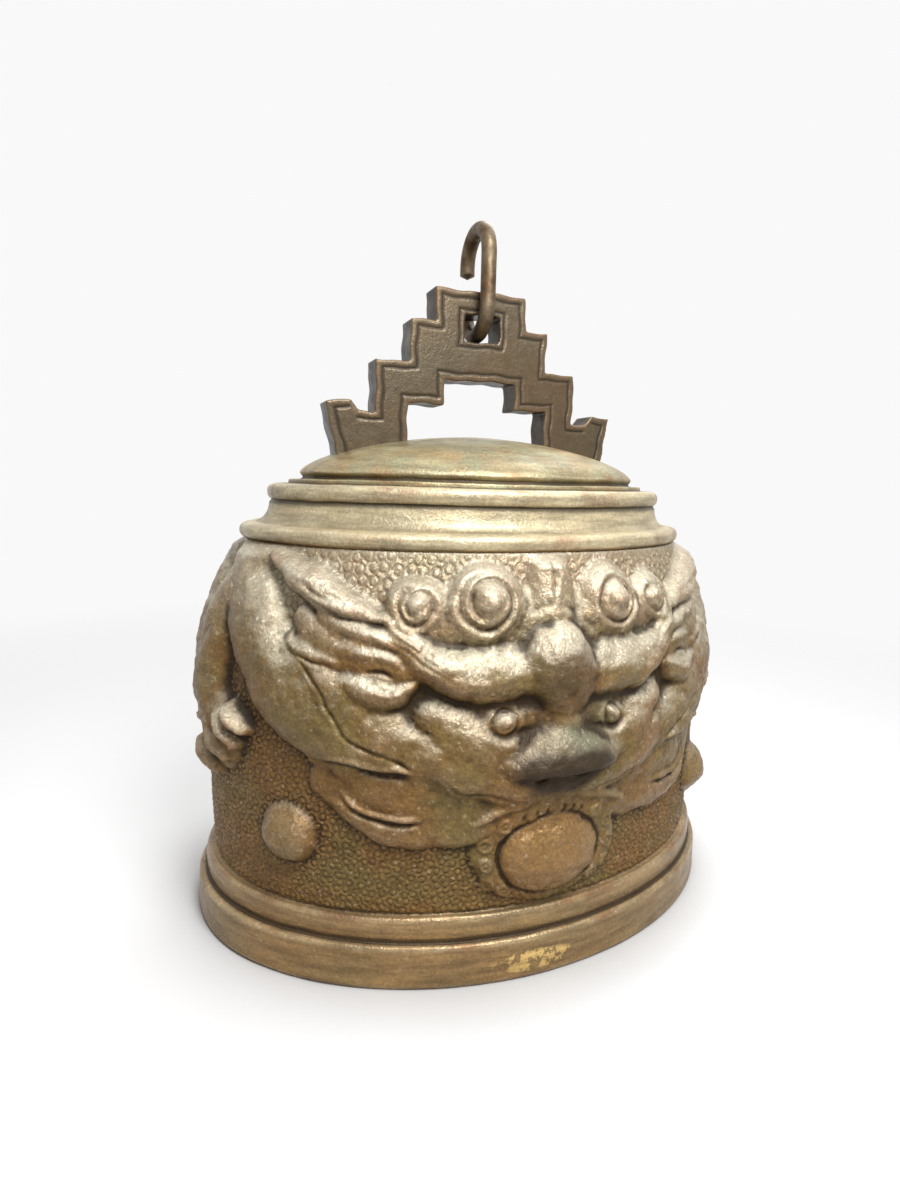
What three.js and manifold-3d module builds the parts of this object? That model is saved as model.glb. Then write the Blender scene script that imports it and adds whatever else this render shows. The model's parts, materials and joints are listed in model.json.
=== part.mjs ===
// Bronze temple bell with a stepped hanger, a hanging hook and a clapper.
// Millimetres, +Z up. The origin is the centre of the rim's plane, X runs along the hanger
// and the dragon mask faces -Y. The back repeats the front, turned half round the bell.
import * as THREE from 'three';
import { mergeVertices } from 'three/addons/utils/BufferGeometryUtils.js';
import Module from 'manifold-3d';

const wasm = await Module();
wasm.setup();

// Gap between pieces that seat on each other
const CLEARANCE = 0.3;
const MERGE_DISTANCE = 1e-4;

// Bell body: radii are half widths along X, and depths follow the oval plan
const OVAL = 0.74;
const RIM_RADIUS = 90;
const LIP_HEIGHT = 12.4;
const LIP_THICKNESS = 6.5;
const LIP_DRAFT = 0.4;
const EDGE_ROUND = 1.2;
const BAND_INSET = 3;
const BAND_HEIGHT = 7.2;
const WALL_INSET = 5.4;
const WALL_SWELL = 1.6;
const WALL_HEIGHT = 96;
const WALL_THICKNESS = 5.2;
const WALL_LOW_PULL = 0.37;
const WALL_HIGH_PULL = 0.735;
const WALL_STEPS = 7;
const LEDGE_RISE = 1;
const SHOULDER_RADIUS = 72.8;
const SHOULDER_SWELL = 11.8;
const LOWER_RING_REACH = 1.5;
const LOWER_RING_DEPTH = 4;
const LOWER_RING_HEIGHT = 6.6;
const COVE_SIZE = 4.8;
const UPPER_RING_DEPTH = 3.1;
const UPPER_RING_HEIGHT = 5;
const LOWER_RING_ARC = [-70, 80];
const UPPER_RING_ARC = [-50, 80];
const RING_STEPS = 4;
const DOME_RADIUS = 56.3;
const DOME_STEP = 3.2;
const DOME_HEIGHT = 13;
const DOME_POWER = 1.65;
const DOME_STEPS = 6;
const COLLAR_STEP_REACH = 3.4;
const COLLAR_STEP_HEIGHT = 1.4;
const CROWN_THICKNESS = 6.4;
const PAD_RADIUS = 16;
const PAD_DEPTH = 6;
const SPRINGING_SHARE = 0.78;
const INNER_WALL_SHARES = [0.55, 0.28, 0.02];
const VAULT_STEPS = 6;
const VAULT_EASE = 2;
const BODY_SEGMENTS = 36;

// Stepped hanger: a plate across the dome, heights counted from the dome's top
const HANGER_THICKNESS = 10;
const HANGER_EDGE = 0.7;
const HANGER_HEIGHT = 44.3;
const TOP_HALF_WIDTH = 15.4;
const UPPER_STEP_HEIGHT = 34.2;
const UPPER_STEP_HALF_WIDTH = 23.4;
const LOWER_STEP_HEIGHT = 21.6;
const LOWER_STEP_HALF_WIDTH = 34.4;
const NOTCH_HEIGHT = 5.9;
const NOTCH_WIDTH = 5;
const HORN_HEIGHT = 9;
const HORN_LEAN = 2.6;
const HORN_WIDTH = 7.4;
const HORN_SLOPE = 0.7;
const FOOT_HALF_WIDTH = 48;
const FOOT_SINK = 14;
const WINDOW_HALF_WIDTH = 24;
const WINDOW_STEP_HEIGHT = 9.2;
const WINDOW_TOP_HALF_WIDTH = 12.3;
const WINDOW_HEIGHT = 17.2;
const HOLE_HALF_WIDTH = 6;
const HOLE_HEIGHT = 8.2;
const HOLE_COVER = 7;

// Hanging hook: an open loop of round rod through the hanger's hole
const HOOK_ROD = 4.8;
const HOOK_FLOOR_GAP = 0.5;
const HOOK_SHANK = 14;
const HOOK_TIP = 5.5;
const HOOK_MOUTH = 6;
const ROD_SIDES = 8;
const HOOK_STEPS = 34;
const STAPLE_STEPS = 22;

// Clapper: a staple in the crown, a rod with an eye, and a ball
const STAPLE_ROD = 5;
const STAPLE_HALF_WIDTH = 9;
const STAPLE_CORNER = 6;
const STAPLE_DROP = 18;
const SOCKET_DEPTH = 7;
const EYE_RADIUS = 7.5;
const EYE_ROD = 5;
const CLAPPER_ROD = 6;
const CLAPPER_LENGTH = 90;
const BALL_RADIUS = 13;
const COLLAR_RADIUS = 5;
const COLLAR_HEIGHT = 2;
const PEEN_SHARE = 0.7;
const CLAPPER_SIDES = 12;

// Relief on the wall, drawn on a flat sheet that wraps once round the bell from the mask's middle line.
// The sheet's units are a part of the girth, of the wall's height and of the nose's rise.
const SHEET_GIRTH = 456;
const SHEET_HEIGHT = 91.3;
const SHEET_FOOT = 19.9;
const SHEET_RISE = 11;
const NOSE_RISE = 11;
const RELIEF_ROOT = 3;
const STROKE_SIDES = 8;
const SLIM_SIDES = 6;
const SLIM_HALF = 4.5;
const STROKE_SPARE_RINGS = 1;
const STROKE_FULLNESS = 0.45;
const ORNAMENT_SEGMENTS = 20;
const PEARL_PLACE = [0, 34.5];
const PEARL_HALF_WIDTH = 15;
const PEARL_HALF_HEIGHT = 11.4;
const PEARL_RISE = 4.6;
const FRILL_HALF_WIDTH = 22.6;
const FRILL_HALF_HEIGHT = 14.4;
const FRILL_RISE = 2.4;
const BOSS_PLACE = [70.5, 38.8];
const BOSS_RADIUS = 8.4;
const BOSS_RISE = 5;
const BOSS_SEGMENTS = 16;

// Heights and radii that follow from the driving dimensions
const BAND_RADIUS = RIM_RADIUS - BAND_INSET;
const WALL_RADIUS = RIM_RADIUS - WALL_INSET;
const BAND_TOP = LIP_HEIGHT + BAND_HEIGHT;
const WALL_FOOT = BAND_TOP + LEDGE_RISE;
const WALL_TOP = WALL_FOOT + WALL_HEIGHT;
const LOWER_RING_RADIUS = SHOULDER_RADIUS + LOWER_RING_REACH;
const LOWER_RING_TOP = WALL_TOP + LOWER_RING_HEIGHT;
const COVE_TOP = LOWER_RING_TOP + COVE_SIZE;
const COVE_RADIUS = LOWER_RING_RADIUS - LOWER_RING_DEPTH;
const UPPER_RING_RADIUS = COVE_RADIUS - COVE_SIZE + EDGE_ROUND / 2;
const UPPER_RING_TOP = COVE_TOP + UPPER_RING_HEIGHT;
const DOME_FOOT = UPPER_RING_TOP + DOME_STEP;
const DOME_TOP = DOME_FOOT + DOME_HEIGHT;
const VAULT_TOP = DOME_TOP - CROWN_THICKNESS;
const PAD_BOTTOM = VAULT_TOP - PAD_DEPTH;
const STAPLE_BAR = PAD_BOTTOM - STAPLE_DROP;
const HANGER_TOP = DOME_TOP + HANGER_HEIGHT;
const HOLE_TOP = HANGER_TOP - HOLE_COVER;
const HOLE_FLOOR = HOLE_TOP - HOLE_HEIGHT;

// The hook's bend turns clear of the bar above the hole: its inner side passes the bar's top corners
const HOOK_LOW = HOLE_FLOOR + HOOK_FLOOR_GAP + HOOK_ROD / 2;
const HOOK_CLIMB = HANGER_TOP - HOOK_LOW;
const HOOK_ROOM = HOOK_ROD / 2 + CLEARANCE;
const HOOK_BAR = (HANGER_THICKNESS / 2) ** 2 + HOOK_CLIMB ** 2 - HOOK_ROOM ** 2;
const HOOK_BEND_RADIUS = HOOK_BAR / (2 * (HOOK_CLIMB - HOOK_ROOM));
const HOOK_PIVOT = HOOK_LOW + HOOK_BEND_RADIUS;

const bronze = { metalness: 0.85, roughness: 0.45 };
const bellMaterial = new THREE.MeshStandardMaterial({ color: 0x8a7350, ...bronze });
const reliefMaterial = new THREE.MeshStandardMaterial({ color: 0x84694c, ...bronze });
const pearlMaterial = new THREE.MeshStandardMaterial({ color: 0x9a7a52, ...bronze });
const hangerMaterial = new THREE.MeshStandardMaterial({ color: 0x6f6046, ...bronze });
const ironMaterial = new THREE.MeshStandardMaterial({ color: 0x4a443c, metalness: 0.8, roughness: 0.6 });

// A closed solid from a geometry whose shared corners are merged
function solid(geometry) {
  const bare = geometry.index ? geometry.clone() : mergeVertices(geometry);
  bare.deleteAttribute('normal');
  bare.deleteAttribute('uv');
  const merged = mergeVertices(bare, MERGE_DISTANCE);
  const corners = merged.index.array;
  const kept = [];
  for (let i = 0; i < corners.length; i += 3) {
    const [a, b, c] = [corners[i], corners[i + 1], corners[i + 2]];
    if (a !== b && b !== c && c !== a) kept.push(a, b, c);
  }
  const build = (triangles) => new wasm.Manifold(new wasm.Mesh({
    numProp: 3,
    vertProperties: new Float32Array(merged.attributes.position.array),
    triVerts: new Uint32Array(triangles),
  }));
  const made = build(kept);
  return made.volume() > 0 ? made : build(kept.reverse());
}

function geometryOf(manifold) {
  const mesh = manifold.getMesh();
  const geometry = new THREE.BufferGeometry();
  geometry.setAttribute('position', new THREE.BufferAttribute(mesh.vertProperties, 3));
  geometry.setIndex(new THREE.BufferAttribute(mesh.triVerts, 1));
  geometry.computeVertexNormals();
  return geometry;
}

function piece(name, manifold, material) {
  const mesh = new THREE.Mesh(geometryOf(manifold), material);
  mesh.name = name;
  return mesh;
}

function arc(x, y, rx, ry, from, to, steps) {
  const [start, end] = [from, to].map(THREE.MathUtils.degToRad);
  return new THREE.EllipseCurve(x, y, rx, ry, start, end, to < from).getPoints(steps);
}

// A turned solid about Z from a profile of radius and height
function turned(profile, segments) {
  const geometry = new THREE.LatheGeometry(profile, segments);
  geometry.rotateX(Math.PI / 2);
  return geometry;
}

// The wall's outer line, from its foot on the ledge to the shoulder
const wallLine = new THREE.CubicBezierCurve(
  new THREE.Vector2(WALL_RADIUS, WALL_FOOT),
  new THREE.Vector2(WALL_RADIUS + WALL_SWELL, WALL_FOOT + WALL_HEIGHT * WALL_LOW_PULL),
  new THREE.Vector2(SHOULDER_RADIUS + SHOULDER_SWELL, WALL_FOOT + WALL_HEIGHT * WALL_HIGH_PULL),
  new THREE.Vector2(SHOULDER_RADIUS, WALL_TOP),
);
const wallPoints = wallLine.getPoints(WALL_STEPS);

function wallRadius(z) {
  const last = wallPoints.length - 1;
  let i = 1;
  while (i < last && wallPoints[i].y < z) i += 1;
  const [low, high] = [wallPoints[i - 1], wallPoints[i]];
  return THREE.MathUtils.mapLinear(z, low.y, high.y, low.x, high.x);
}

function outerProfile() {
  const lipTop = RIM_RADIUS - LIP_DRAFT - EDGE_ROUND;
  const lowerRingX = LOWER_RING_RADIUS - LOWER_RING_DEPTH;
  const lowerRingZ = WALL_TOP + LOWER_RING_HEIGHT / 2;
  const upperRingX = UPPER_RING_RADIUS - UPPER_RING_DEPTH;
  const upperRingZ = COVE_TOP + UPPER_RING_HEIGHT / 2;
  const collarX = DOME_RADIUS + COLLAR_STEP_REACH;
  const dome = [];
  for (let k = 0; k <= DOME_STEPS; k += 1) {
    const turn = (k / DOME_STEPS) * Math.PI / 2;
    const run = k === DOME_STEPS ? 0 : Math.cos(turn) ** (2 / DOME_POWER);
    dome.push(new THREE.Vector2(DOME_RADIUS * run, DOME_FOOT + DOME_HEIGHT * Math.sin(turn) ** (2 / DOME_POWER)));
  }
  return [
    ...arc(RIM_RADIUS - EDGE_ROUND, EDGE_ROUND, EDGE_ROUND, EDGE_ROUND, -90, 0, 2),
    ...arc(lipTop, LIP_HEIGHT - EDGE_ROUND, EDGE_ROUND, EDGE_ROUND, 0, 90, 2),
    new THREE.Vector2(BAND_RADIUS, LIP_HEIGHT + LIP_DRAFT),
    ...arc(BAND_RADIUS - EDGE_ROUND, BAND_TOP - EDGE_ROUND, EDGE_ROUND, EDGE_ROUND, 0, 90, 2),
    ...wallPoints,
    ...arc(lowerRingX, lowerRingZ, LOWER_RING_DEPTH, LOWER_RING_HEIGHT / 2, ...LOWER_RING_ARC, RING_STEPS),
    ...arc(COVE_RADIUS, COVE_TOP, COVE_SIZE, COVE_SIZE, 270, 180, 3),
    ...arc(upperRingX, upperRingZ, UPPER_RING_DEPTH, UPPER_RING_HEIGHT / 2, ...UPPER_RING_ARC, RING_STEPS),
    new THREE.Vector2(collarX, UPPER_RING_TOP),
    new THREE.Vector2(collarX, UPPER_RING_TOP + COLLAR_STEP_HEIGHT),
    new THREE.Vector2(DOME_RADIUS, UPPER_RING_TOP + COLLAR_STEP_HEIGHT),
    ...dome,
  ];
}

// From the crown's pad down the vault and the inner wall to the rim
function innerProfile() {
  const springing = WALL_FOOT + WALL_HEIGHT * SPRINGING_SHARE;
  const vault = new THREE.CubicBezierCurve(
    new THREE.Vector2(PAD_RADIUS + EDGE_ROUND, VAULT_TOP),
    new THREE.Vector2(DOME_RADIUS - WALL_THICKNESS, VAULT_TOP),
    new THREE.Vector2(SHOULDER_RADIUS - WALL_THICKNESS + VAULT_EASE, WALL_TOP + LOWER_RING_HEIGHT),
    new THREE.Vector2(wallRadius(springing) - WALL_THICKNESS, springing),
  ).getPoints(VAULT_STEPS);
  const wall = INNER_WALL_SHARES.map((share) => {
    const z = WALL_FOOT + WALL_HEIGHT * share;
    return new THREE.Vector2(wallRadius(z) - WALL_THICKNESS, z);
  });
  return [
    new THREE.Vector2(0, PAD_BOTTOM),
    new THREE.Vector2(PAD_RADIUS, PAD_BOTTOM),
    ...vault,
    ...wall,
    new THREE.Vector2(RIM_RADIUS - LIP_THICKNESS, 0),
  ];
}

function oval(geometry) {
  return geometry.scale(1, OVAL, 1);
}

// A straight rod between two heights at one place
function uprightRod(radius, x, low, high, sides) {
  const geometry = new THREE.CylinderGeometry(radius, radius, high - low, sides);
  geometry.rotateX(Math.PI / 2);
  return geometry.translate(x, 0, (low + high) / 2);
}

function bellBody() {
  let body = solid(oval(turned([...innerProfile(), ...outerProfile()], BODY_SEGMENTS)));
  for (const side of [-1, 1]) {
    const socketRadius = STAPLE_ROD / 2 + CLEARANCE;
    const x = side * STAPLE_HALF_WIDTH;
    const socket = uprightRod(socketRadius, x, PAD_BOTTOM - CLEARANCE, PAD_BOTTOM + SOCKET_DEPTH, ROD_SIDES);
    body = body.subtract(solid(socket));
  }
  return body;
}

// The outside of the bell, grown by the clearance, which cuts whatever sits on it
function bellEnvelope() {
  const line = outerProfile();
  const grown = line.map((point, i) => {
    const before = line[Math.max(i - 1, 0)];
    const after = line[Math.min(i + 1, line.length - 1)];
    const along = after.clone().sub(before).normalize();
    const out = point.clone().add(new THREE.Vector2(along.y, -along.x).multiplyScalar(CLEARANCE));
    return i === line.length - 1 ? new THREE.Vector2(0, DOME_TOP + CLEARANCE) : out;
  });
  const foot = -CLEARANCE;
  const base = [new THREE.Vector2(0, foot), new THREE.Vector2(grown[0].x, foot)];
  return solid(oval(turned([...base, ...grown], BODY_SEGMENTS)));
}
const envelope = bellEnvelope();

// The hanger's outline, drawn for the right half and mirrored
function hanger() {
  const notchEnd = LOWER_STEP_HALF_WIDTH + NOTCH_WIDTH;
  const right = [
    [TOP_HALF_WIDTH, HANGER_HEIGHT],
    [TOP_HALF_WIDTH, UPPER_STEP_HEIGHT],
    [UPPER_STEP_HALF_WIDTH, UPPER_STEP_HEIGHT],
    [UPPER_STEP_HALF_WIDTH, LOWER_STEP_HEIGHT],
    [LOWER_STEP_HALF_WIDTH, LOWER_STEP_HEIGHT],
    [LOWER_STEP_HALF_WIDTH, NOTCH_HEIGHT],
    [notchEnd, NOTCH_HEIGHT],
    [notchEnd + HORN_LEAN, HORN_HEIGHT],
    [notchEnd + HORN_LEAN + HORN_WIDTH, HORN_HEIGHT - HORN_SLOPE],
    [FOOT_HALF_WIDTH - HORN_LEAN, -FOOT_SINK],
    [WINDOW_HALF_WIDTH, -FOOT_SINK],
    [WINDOW_HALF_WIDTH, WINDOW_STEP_HEIGHT],
    [WINDOW_TOP_HALF_WIDTH, WINDOW_STEP_HEIGHT],
    [WINDOW_TOP_HALF_WIDTH, WINDOW_HEIGHT],
  ];
  const left = right.map(([x, z]) => [-x, z]).reverse();
  const outline = [...right, ...left].map(([x, z]) => new THREE.Vector2(x, z));
  const shape = new THREE.Shape(outline);
  const holeFloor = HOLE_FLOOR - DOME_TOP;
  const holeTop = HOLE_TOP - DOME_TOP;
  shape.holes.push(new THREE.Path([
    new THREE.Vector2(-HOLE_HALF_WIDTH, holeFloor),
    new THREE.Vector2(HOLE_HALF_WIDTH, holeFloor),
    new THREE.Vector2(HOLE_HALF_WIDTH, holeTop),
    new THREE.Vector2(-HOLE_HALF_WIDTH, holeTop),
  ]));
  const plate = new THREE.ExtrudeGeometry(shape, {
    depth: HANGER_THICKNESS - 2 * HANGER_EDGE,
    bevelThickness: HANGER_EDGE,
    bevelSize: HANGER_EDGE,
    bevelOffset: -HANGER_EDGE,
    bevelSegments: 2,
  });
  plate.rotateX(Math.PI / 2);
  plate.translate(0, HANGER_THICKNESS / 2 - HANGER_EDGE, DOME_TOP);
  return solid(plate).subtract(envelope);
}

// A round rod bent along a line of points
function bentRod(points, diameter, steps) {
  const section = new THREE.Shape().absarc(0, 0, diameter / 2, 0, 2 * Math.PI);
  const path = new THREE.CatmullRomCurve3(points, false, 'centripetal');
  const options = { steps, curveSegments: ROD_SIDES / 2, bevelEnabled: false, extrudePath: path };
  return new THREE.ExtrudeGeometry(section, options);
}

// The hook about its own pivot, the middle of its lower bend, in the plane across the hanger
function hook() {
  const bend = HOOK_BEND_RADIUS;
  const upperBend = HOOK_SHANK;
  const flat = [
    new THREE.Vector2(bend, HOOK_TIP),
    new THREE.Vector2(bend, HOOK_TIP / 2),
    ...arc(0, 0, bend, bend, 0, -180, 10),
    new THREE.Vector2(-bend, upperBend / 3),
    new THREE.Vector2(-bend, upperBend * 2 / 3),
    ...arc(0, upperBend, bend, bend, 180, 0, 10),
    new THREE.Vector2(bend, HOOK_TIP + HOOK_MOUTH),
  ];
  return bentRod(flat.map((p) => new THREE.Vector3(0, p.x, p.y)), HOOK_ROD, HOOK_STEPS);
}

// The staple's U, from the end of one leg in its socket to the other
function staple() {
  const legTop = PAD_BOTTOM + SOCKET_DEPTH - CLEARANCE;
  const cornerX = STAPLE_HALF_WIDTH - STAPLE_CORNER;
  const cornerZ = STAPLE_BAR + STAPLE_CORNER;
  const flat = [
    new THREE.Vector2(-STAPLE_HALF_WIDTH, legTop),
    new THREE.Vector2(-STAPLE_HALF_WIDTH, (legTop + cornerZ) / 2),
    ...arc(-cornerX, cornerZ, STAPLE_CORNER, STAPLE_CORNER, 180, 270, 4),
    ...arc(cornerX, cornerZ, STAPLE_CORNER, STAPLE_CORNER, -90, 0, 4),
    new THREE.Vector2(STAPLE_HALF_WIDTH, (legTop + cornerZ) / 2),
    new THREE.Vector2(STAPLE_HALF_WIDTH, legTop),
  ];
  return bentRod(flat.map((p) => new THREE.Vector3(p.x, 0, p.y)), STAPLE_ROD, STAPLE_STEPS);
}

// The clapper's own frame has its zero on the staple's bar, where it turns
const boreRadius = CLAPPER_ROD / 2 + CLEARANCE;
const boreHalf = Math.sqrt(BALL_RADIUS ** 2 - boreRadius ** 2);

function clapperRod() {
  const eyeDrop = EYE_RADIUS - EYE_ROD / 2 - STAPLE_ROD / 2 - CLEARANCE;
  const eye = new THREE.TorusGeometry(EYE_RADIUS, EYE_ROD / 2, ROD_SIDES, 2 * ROD_SIDES);
  eye.rotateY(Math.PI / 2);
  eye.translate(0, 0, -eyeDrop);
  const shaft = CLAPPER_ROD / 2;
  const collarLow = -CLAPPER_LENGTH + boreHalf + CLEARANCE;
  const headHigh = -CLAPPER_LENGTH - boreHalf - CLEARANCE;
  const profile = [
    [0, -eyeDrop - EYE_RADIUS],
    [shaft, -eyeDrop - EYE_RADIUS],
    [shaft, collarLow + COLLAR_HEIGHT],
    [COLLAR_RADIUS, collarLow + COLLAR_HEIGHT],
    [COLLAR_RADIUS, collarLow],
    [shaft, collarLow],
    [shaft, headHigh],
    [COLLAR_RADIUS, headHigh],
    [COLLAR_RADIUS * PEEN_SHARE, headHigh - COLLAR_HEIGHT],
    [0, headHigh - COLLAR_HEIGHT],
  ];
  const rod = turned(profile.map(([r, z]) => new THREE.Vector2(r, z)), CLAPPER_SIDES);
  return solid(eye).add(solid(rod));
}

function clapperBall() {
  const edge = THREE.MathUtils.radToDeg(Math.asin(boreHalf / BALL_RADIUS));
  const round = arc(0, 0, BALL_RADIUS, BALL_RADIUS, -edge, edge, 8);
  return solid(turned([...round, round[0].clone()], 2 * ROD_SIDES));
}

// Girth along the oval wall, from the middle of the front, as an angle of the oval
const girth = new THREE.EllipseCurve(0, 0, WALL_RADIUS * OVAL, WALL_RADIUS, 0, 2 * Math.PI);
girth.arcLengthDivisions = 720;
const girthLength = girth.getLength();

function wallAngle(along, back) {
  const distance = along + (back ? girthLength / 2 : 0);
  return girth.getUtoTmapping(0, THREE.MathUtils.euclideanModulo(distance, girthLength)) * 2 * Math.PI;
}

function wallNormal(angle) {
  return new THREE.Vector3(OVAL * Math.sin(angle), -Math.cos(angle), 0).normalize();
}

// The point that stands a height off the wall
function wallPoint(along, z, height, back) {
  const angle = wallAngle(along, back);
  const radius = wallRadius(z);
  const foot = new THREE.Vector3(radius * Math.sin(angle), -OVAL * radius * Math.cos(angle), z);
  return foot.addScaledVector(wallNormal(angle), height);
}

// A place on the sheet, as girth and height on the wall
function onSheet([along, height]) {
  const z = WALL_FOOT + (height - SHEET_FOOT) * WALL_HEIGHT / SHEET_HEIGHT;
  return [along * girthLength / SHEET_GIRTH, z];
}

// Strokes of the dragon on one half of the sheet: points, half widths along them, and rises off the wall
const STROKES = [
  // forehead field, with the large and the small horn curl and the ball in the large one
  { line: [[-3, 98], [20, 98], [44, 98]], half: [11, 10, 8], rise: [2.6, 2.8, 2.4] },
  { line: [[19.5, 108], [19.5, 90]], half: [10, 10], rise: [5, 5] },
  { line: [[19.5, 105.4], [19.5, 94.6]], half: [5.8, 5.8], rise: [8.4, 8.4] },
  { line: [[38.5, 105], [38.5, 93.5]], half: [6.6, 6.6], rise: [4.8, 4.8] },
  // bulb between the brows
  { line: [[0, 100], [0, 88], [0, 72]], half: [9, 10, 7.5], rise: [8.5, 9.4, 7] },
  // brow, from the bridge of the nose out to its curled tip
  { line: [[-4, 79.5], [10, 81.5], [22, 83], [35, 87.5], [48, 97]], half: [6, 7, 7.4, 5.6, 2.6],
    rise: [7, 7.8, 8.2, 6.8, 4] },
  // bridge of the nose, and its tip with the nostril wings
  { line: [[0, 80], [0, 70], [0, 59]], half: [7.5, 9.5, 13], rise: [6, 8, 10] },
  { line: [[-5, 63], [7, 62.6], [16.5, 60.6]], half: [7, 6.8, 5], rise: [11.4, 11, 7] },
  // eye
  { line: [[9, 70.6], [15.3, 71.2], [22, 72]], half: [3.8, 4.2, 3.6], rise: [4.8, 5.4, 4.4] },
  // cheekbone and muzzle
  { line: [[35, 73], [24, 68], [11, 63.5]], half: [6, 7, 6], rise: [5, 7, 6.4] },
  { line: [[-4, 55.5], [12, 55.5], [24, 57], [34, 60.5]], half: [7.5, 7.5, 7.5, 7], rise: [5.4, 5.8, 5.8, 5] },
  // beard below the mouth
  { line: [[8, 49.5], [18, 47], [32, 43]], half: [5, 6.5, 5], rise: [3, 3.2, 3.2] },
  // mane that runs from the cheek to the shoulder
  { line: [[68, 92], [56, 80], [43, 69], [24, 60]], half: [7, 10, 10, 7.5], rise: [4, 4.6, 4.8, 4.5] },
  // shoulder and foreleg
  { line: [[100, 113], [86, 95], [72.5, 78], [60, 66], [36, 58.5]], half: [10, 10.5, 10, 8, 2],
    rise: [5, 6.6, 6.6, 5.4, 3.5] },
  // two leaf-shaped tufts
  { line: [[66, 58.7], [55, 58.3], [44, 54], [26, 53]], half: [2, 3.4, 5.2, 6], rise: [2.2, 3.4, 3.8, 3.6] },
  { line: [[61, 50.6], [51, 45.2], [41, 42], [22, 43]], half: [2, 3.8, 4.8, 4.5], rise: [2.2, 3.2, 3.6, 3.2] },
  // long feather under the lower ring, and the strands below it
  { line: [[86, 111], [66, 102.5], [44, 95]], half: [3.4, 5, 2.8], rise: [4, 5.6, 4] },
  { line: [[65, 97], [52, 92.5], [36, 88.5]], half: [2.4, 3.6, 3], rise: [3.8, 5.2, 5] },
  { line: [[58, 87], [49, 87.4], [37, 85]], half: [3, 3.6, 2.8], rise: [4.8, 5.8, 5.2] },
  { line: [[58, 81], [47, 78.8], [36, 80]], half: [4.5, 5.6, 4.5], rise: [5, 6.8, 6] },
  // arm at the bell's narrow end, the hand and its four fingers
  { line: [[90, 113], [101, 96], [104.5, 78], [100, 58]], half: [6.5, 7, 7.5, 9], rise: [4.5, 5, 6, 5] },
  { line: [[99, 67.4], [93, 66.6], [86.5, 64]], half: [2.6, 2.8, 2.8], rise: [6, 7, 6] },
  { line: [[103, 64], [96.5, 63], [89, 60.2]], half: [2.6, 2.8, 2.8], rise: [6, 7, 6] },
  { line: [[106, 60.4], [99.5, 59.2], [92, 56.4]], half: [2.6, 2.8, 2.8], rise: [6, 7, 6] },
  { line: [[108, 56.4], [102.5, 55.4], [95.5, 53]], half: [2.6, 2.8, 2.8], rise: [5.6, 6.4, 5.6] },
];

// A value that runs through a list as its share goes from 0 to 1
function alongList(list, share) {
  const place = share * (list.length - 1);
  const low = Math.min(Math.floor(place), list.length - 2);
  return THREE.MathUtils.lerp(list[low], list[low + 1], place - low);
}

// One stroke: a ball drawn out along its line, as wide as its half widths and as high as its rises
function stroke({ line, half, rise }, side, back) {
  const curve = new THREE.SplineCurve(line.map(([along, z]) => new THREE.Vector2(side * along, z)));
  const sides = Math.max(...half) < SLIM_HALF ? SLIM_SIDES : STROKE_SIDES;
  const ball = new THREE.SphereGeometry(1, sides, line.length + STROKE_SPARE_RINGS);
  const place = ball.attributes.position;
  for (let i = 0; i < place.count; i += 1) {
    const share = Math.acos(THREE.MathUtils.clamp(place.getY(i), -1, 1)) / Math.PI;
    const ring = Math.hypot(place.getX(i), place.getZ(i));
    const fullness = ring > MERGE_DISTANCE ? ring ** -STROKE_FULLNESS : 0;
    const centre = curve.getPoint(share);
    const ahead = curve.getTangent(share);
    const aside = place.getX(i) * fullness * alongList(half, share);
    const lift = place.getZ(i) * fullness * alongList(rise, share) * NOSE_RISE / SHEET_RISE;
    const [along, z] = onSheet([centre.x - ahead.y * aside, centre.y + ahead.x * aside]);
    place.setXYZ(i, ...wallPoint(along, z, lift, back).toArray());
  }
  return solid(ball);
}

// A piece turned about the wall's normal, drawn wider than high and set on the wall
function onWall(geometry, along, z, back) {
  const out = wallNormal(wallAngle(along, back));
  const up = new THREE.Vector3(0, 0, 1);
  const across = new THREE.Vector3().crossVectors(up, out);
  const place = new THREE.Matrix4().makeBasis(across, up, out).setPosition(wallPoint(along, z, 0, back));
  return geometry.applyMatrix4(place);
}

function ovalDisc(halfWidth, halfHeight, low, high) {
  const disc = [[0, low], [1, low], [1, high], [0, high]].map(([r, h]) => new THREE.Vector2(r, h));
  return turned(disc, ORNAMENT_SEGMENTS).scale(halfWidth, halfHeight, 1);
}

// Room for a piece on the wall, through its whole thickness
function roomOnWall(halfWidth, halfHeight, [along, z], back) {
  const depth = WALL_THICKNESS + NOSE_RISE;
  return solid(onWall(ovalDisc(halfWidth + CLEARANCE, halfHeight + CLEARANCE, -depth, depth), along, z, back));
}

// Everything above the wall, where the relief runs up under the lower ring
function underRing() {
  const above = new THREE.BoxGeometry(4 * RIM_RADIUS, 4 * RIM_RADIUS, HANGER_HEIGHT);
  return solid(above.translate(0, 0, WALL_TOP - CLEARANCE + HANGER_HEIGHT / 2));
}

function dragon(back) {
  const sides = STROKES.flatMap((one) => {
    const middle = one.line.every(([along]) => along === 0);
    return (middle ? [1] : [1, -1]).map((side) => stroke(one, side, back));
  });
  const whole = sides.reduce((sum, next) => sum.add(next));
  const room = roomOnWall(FRILL_HALF_WIDTH, FRILL_HALF_HEIGHT, onSheet(PEARL_PLACE), back);
  return whole.subtract(envelope).subtract(room).subtract(underRing());
}

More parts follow.
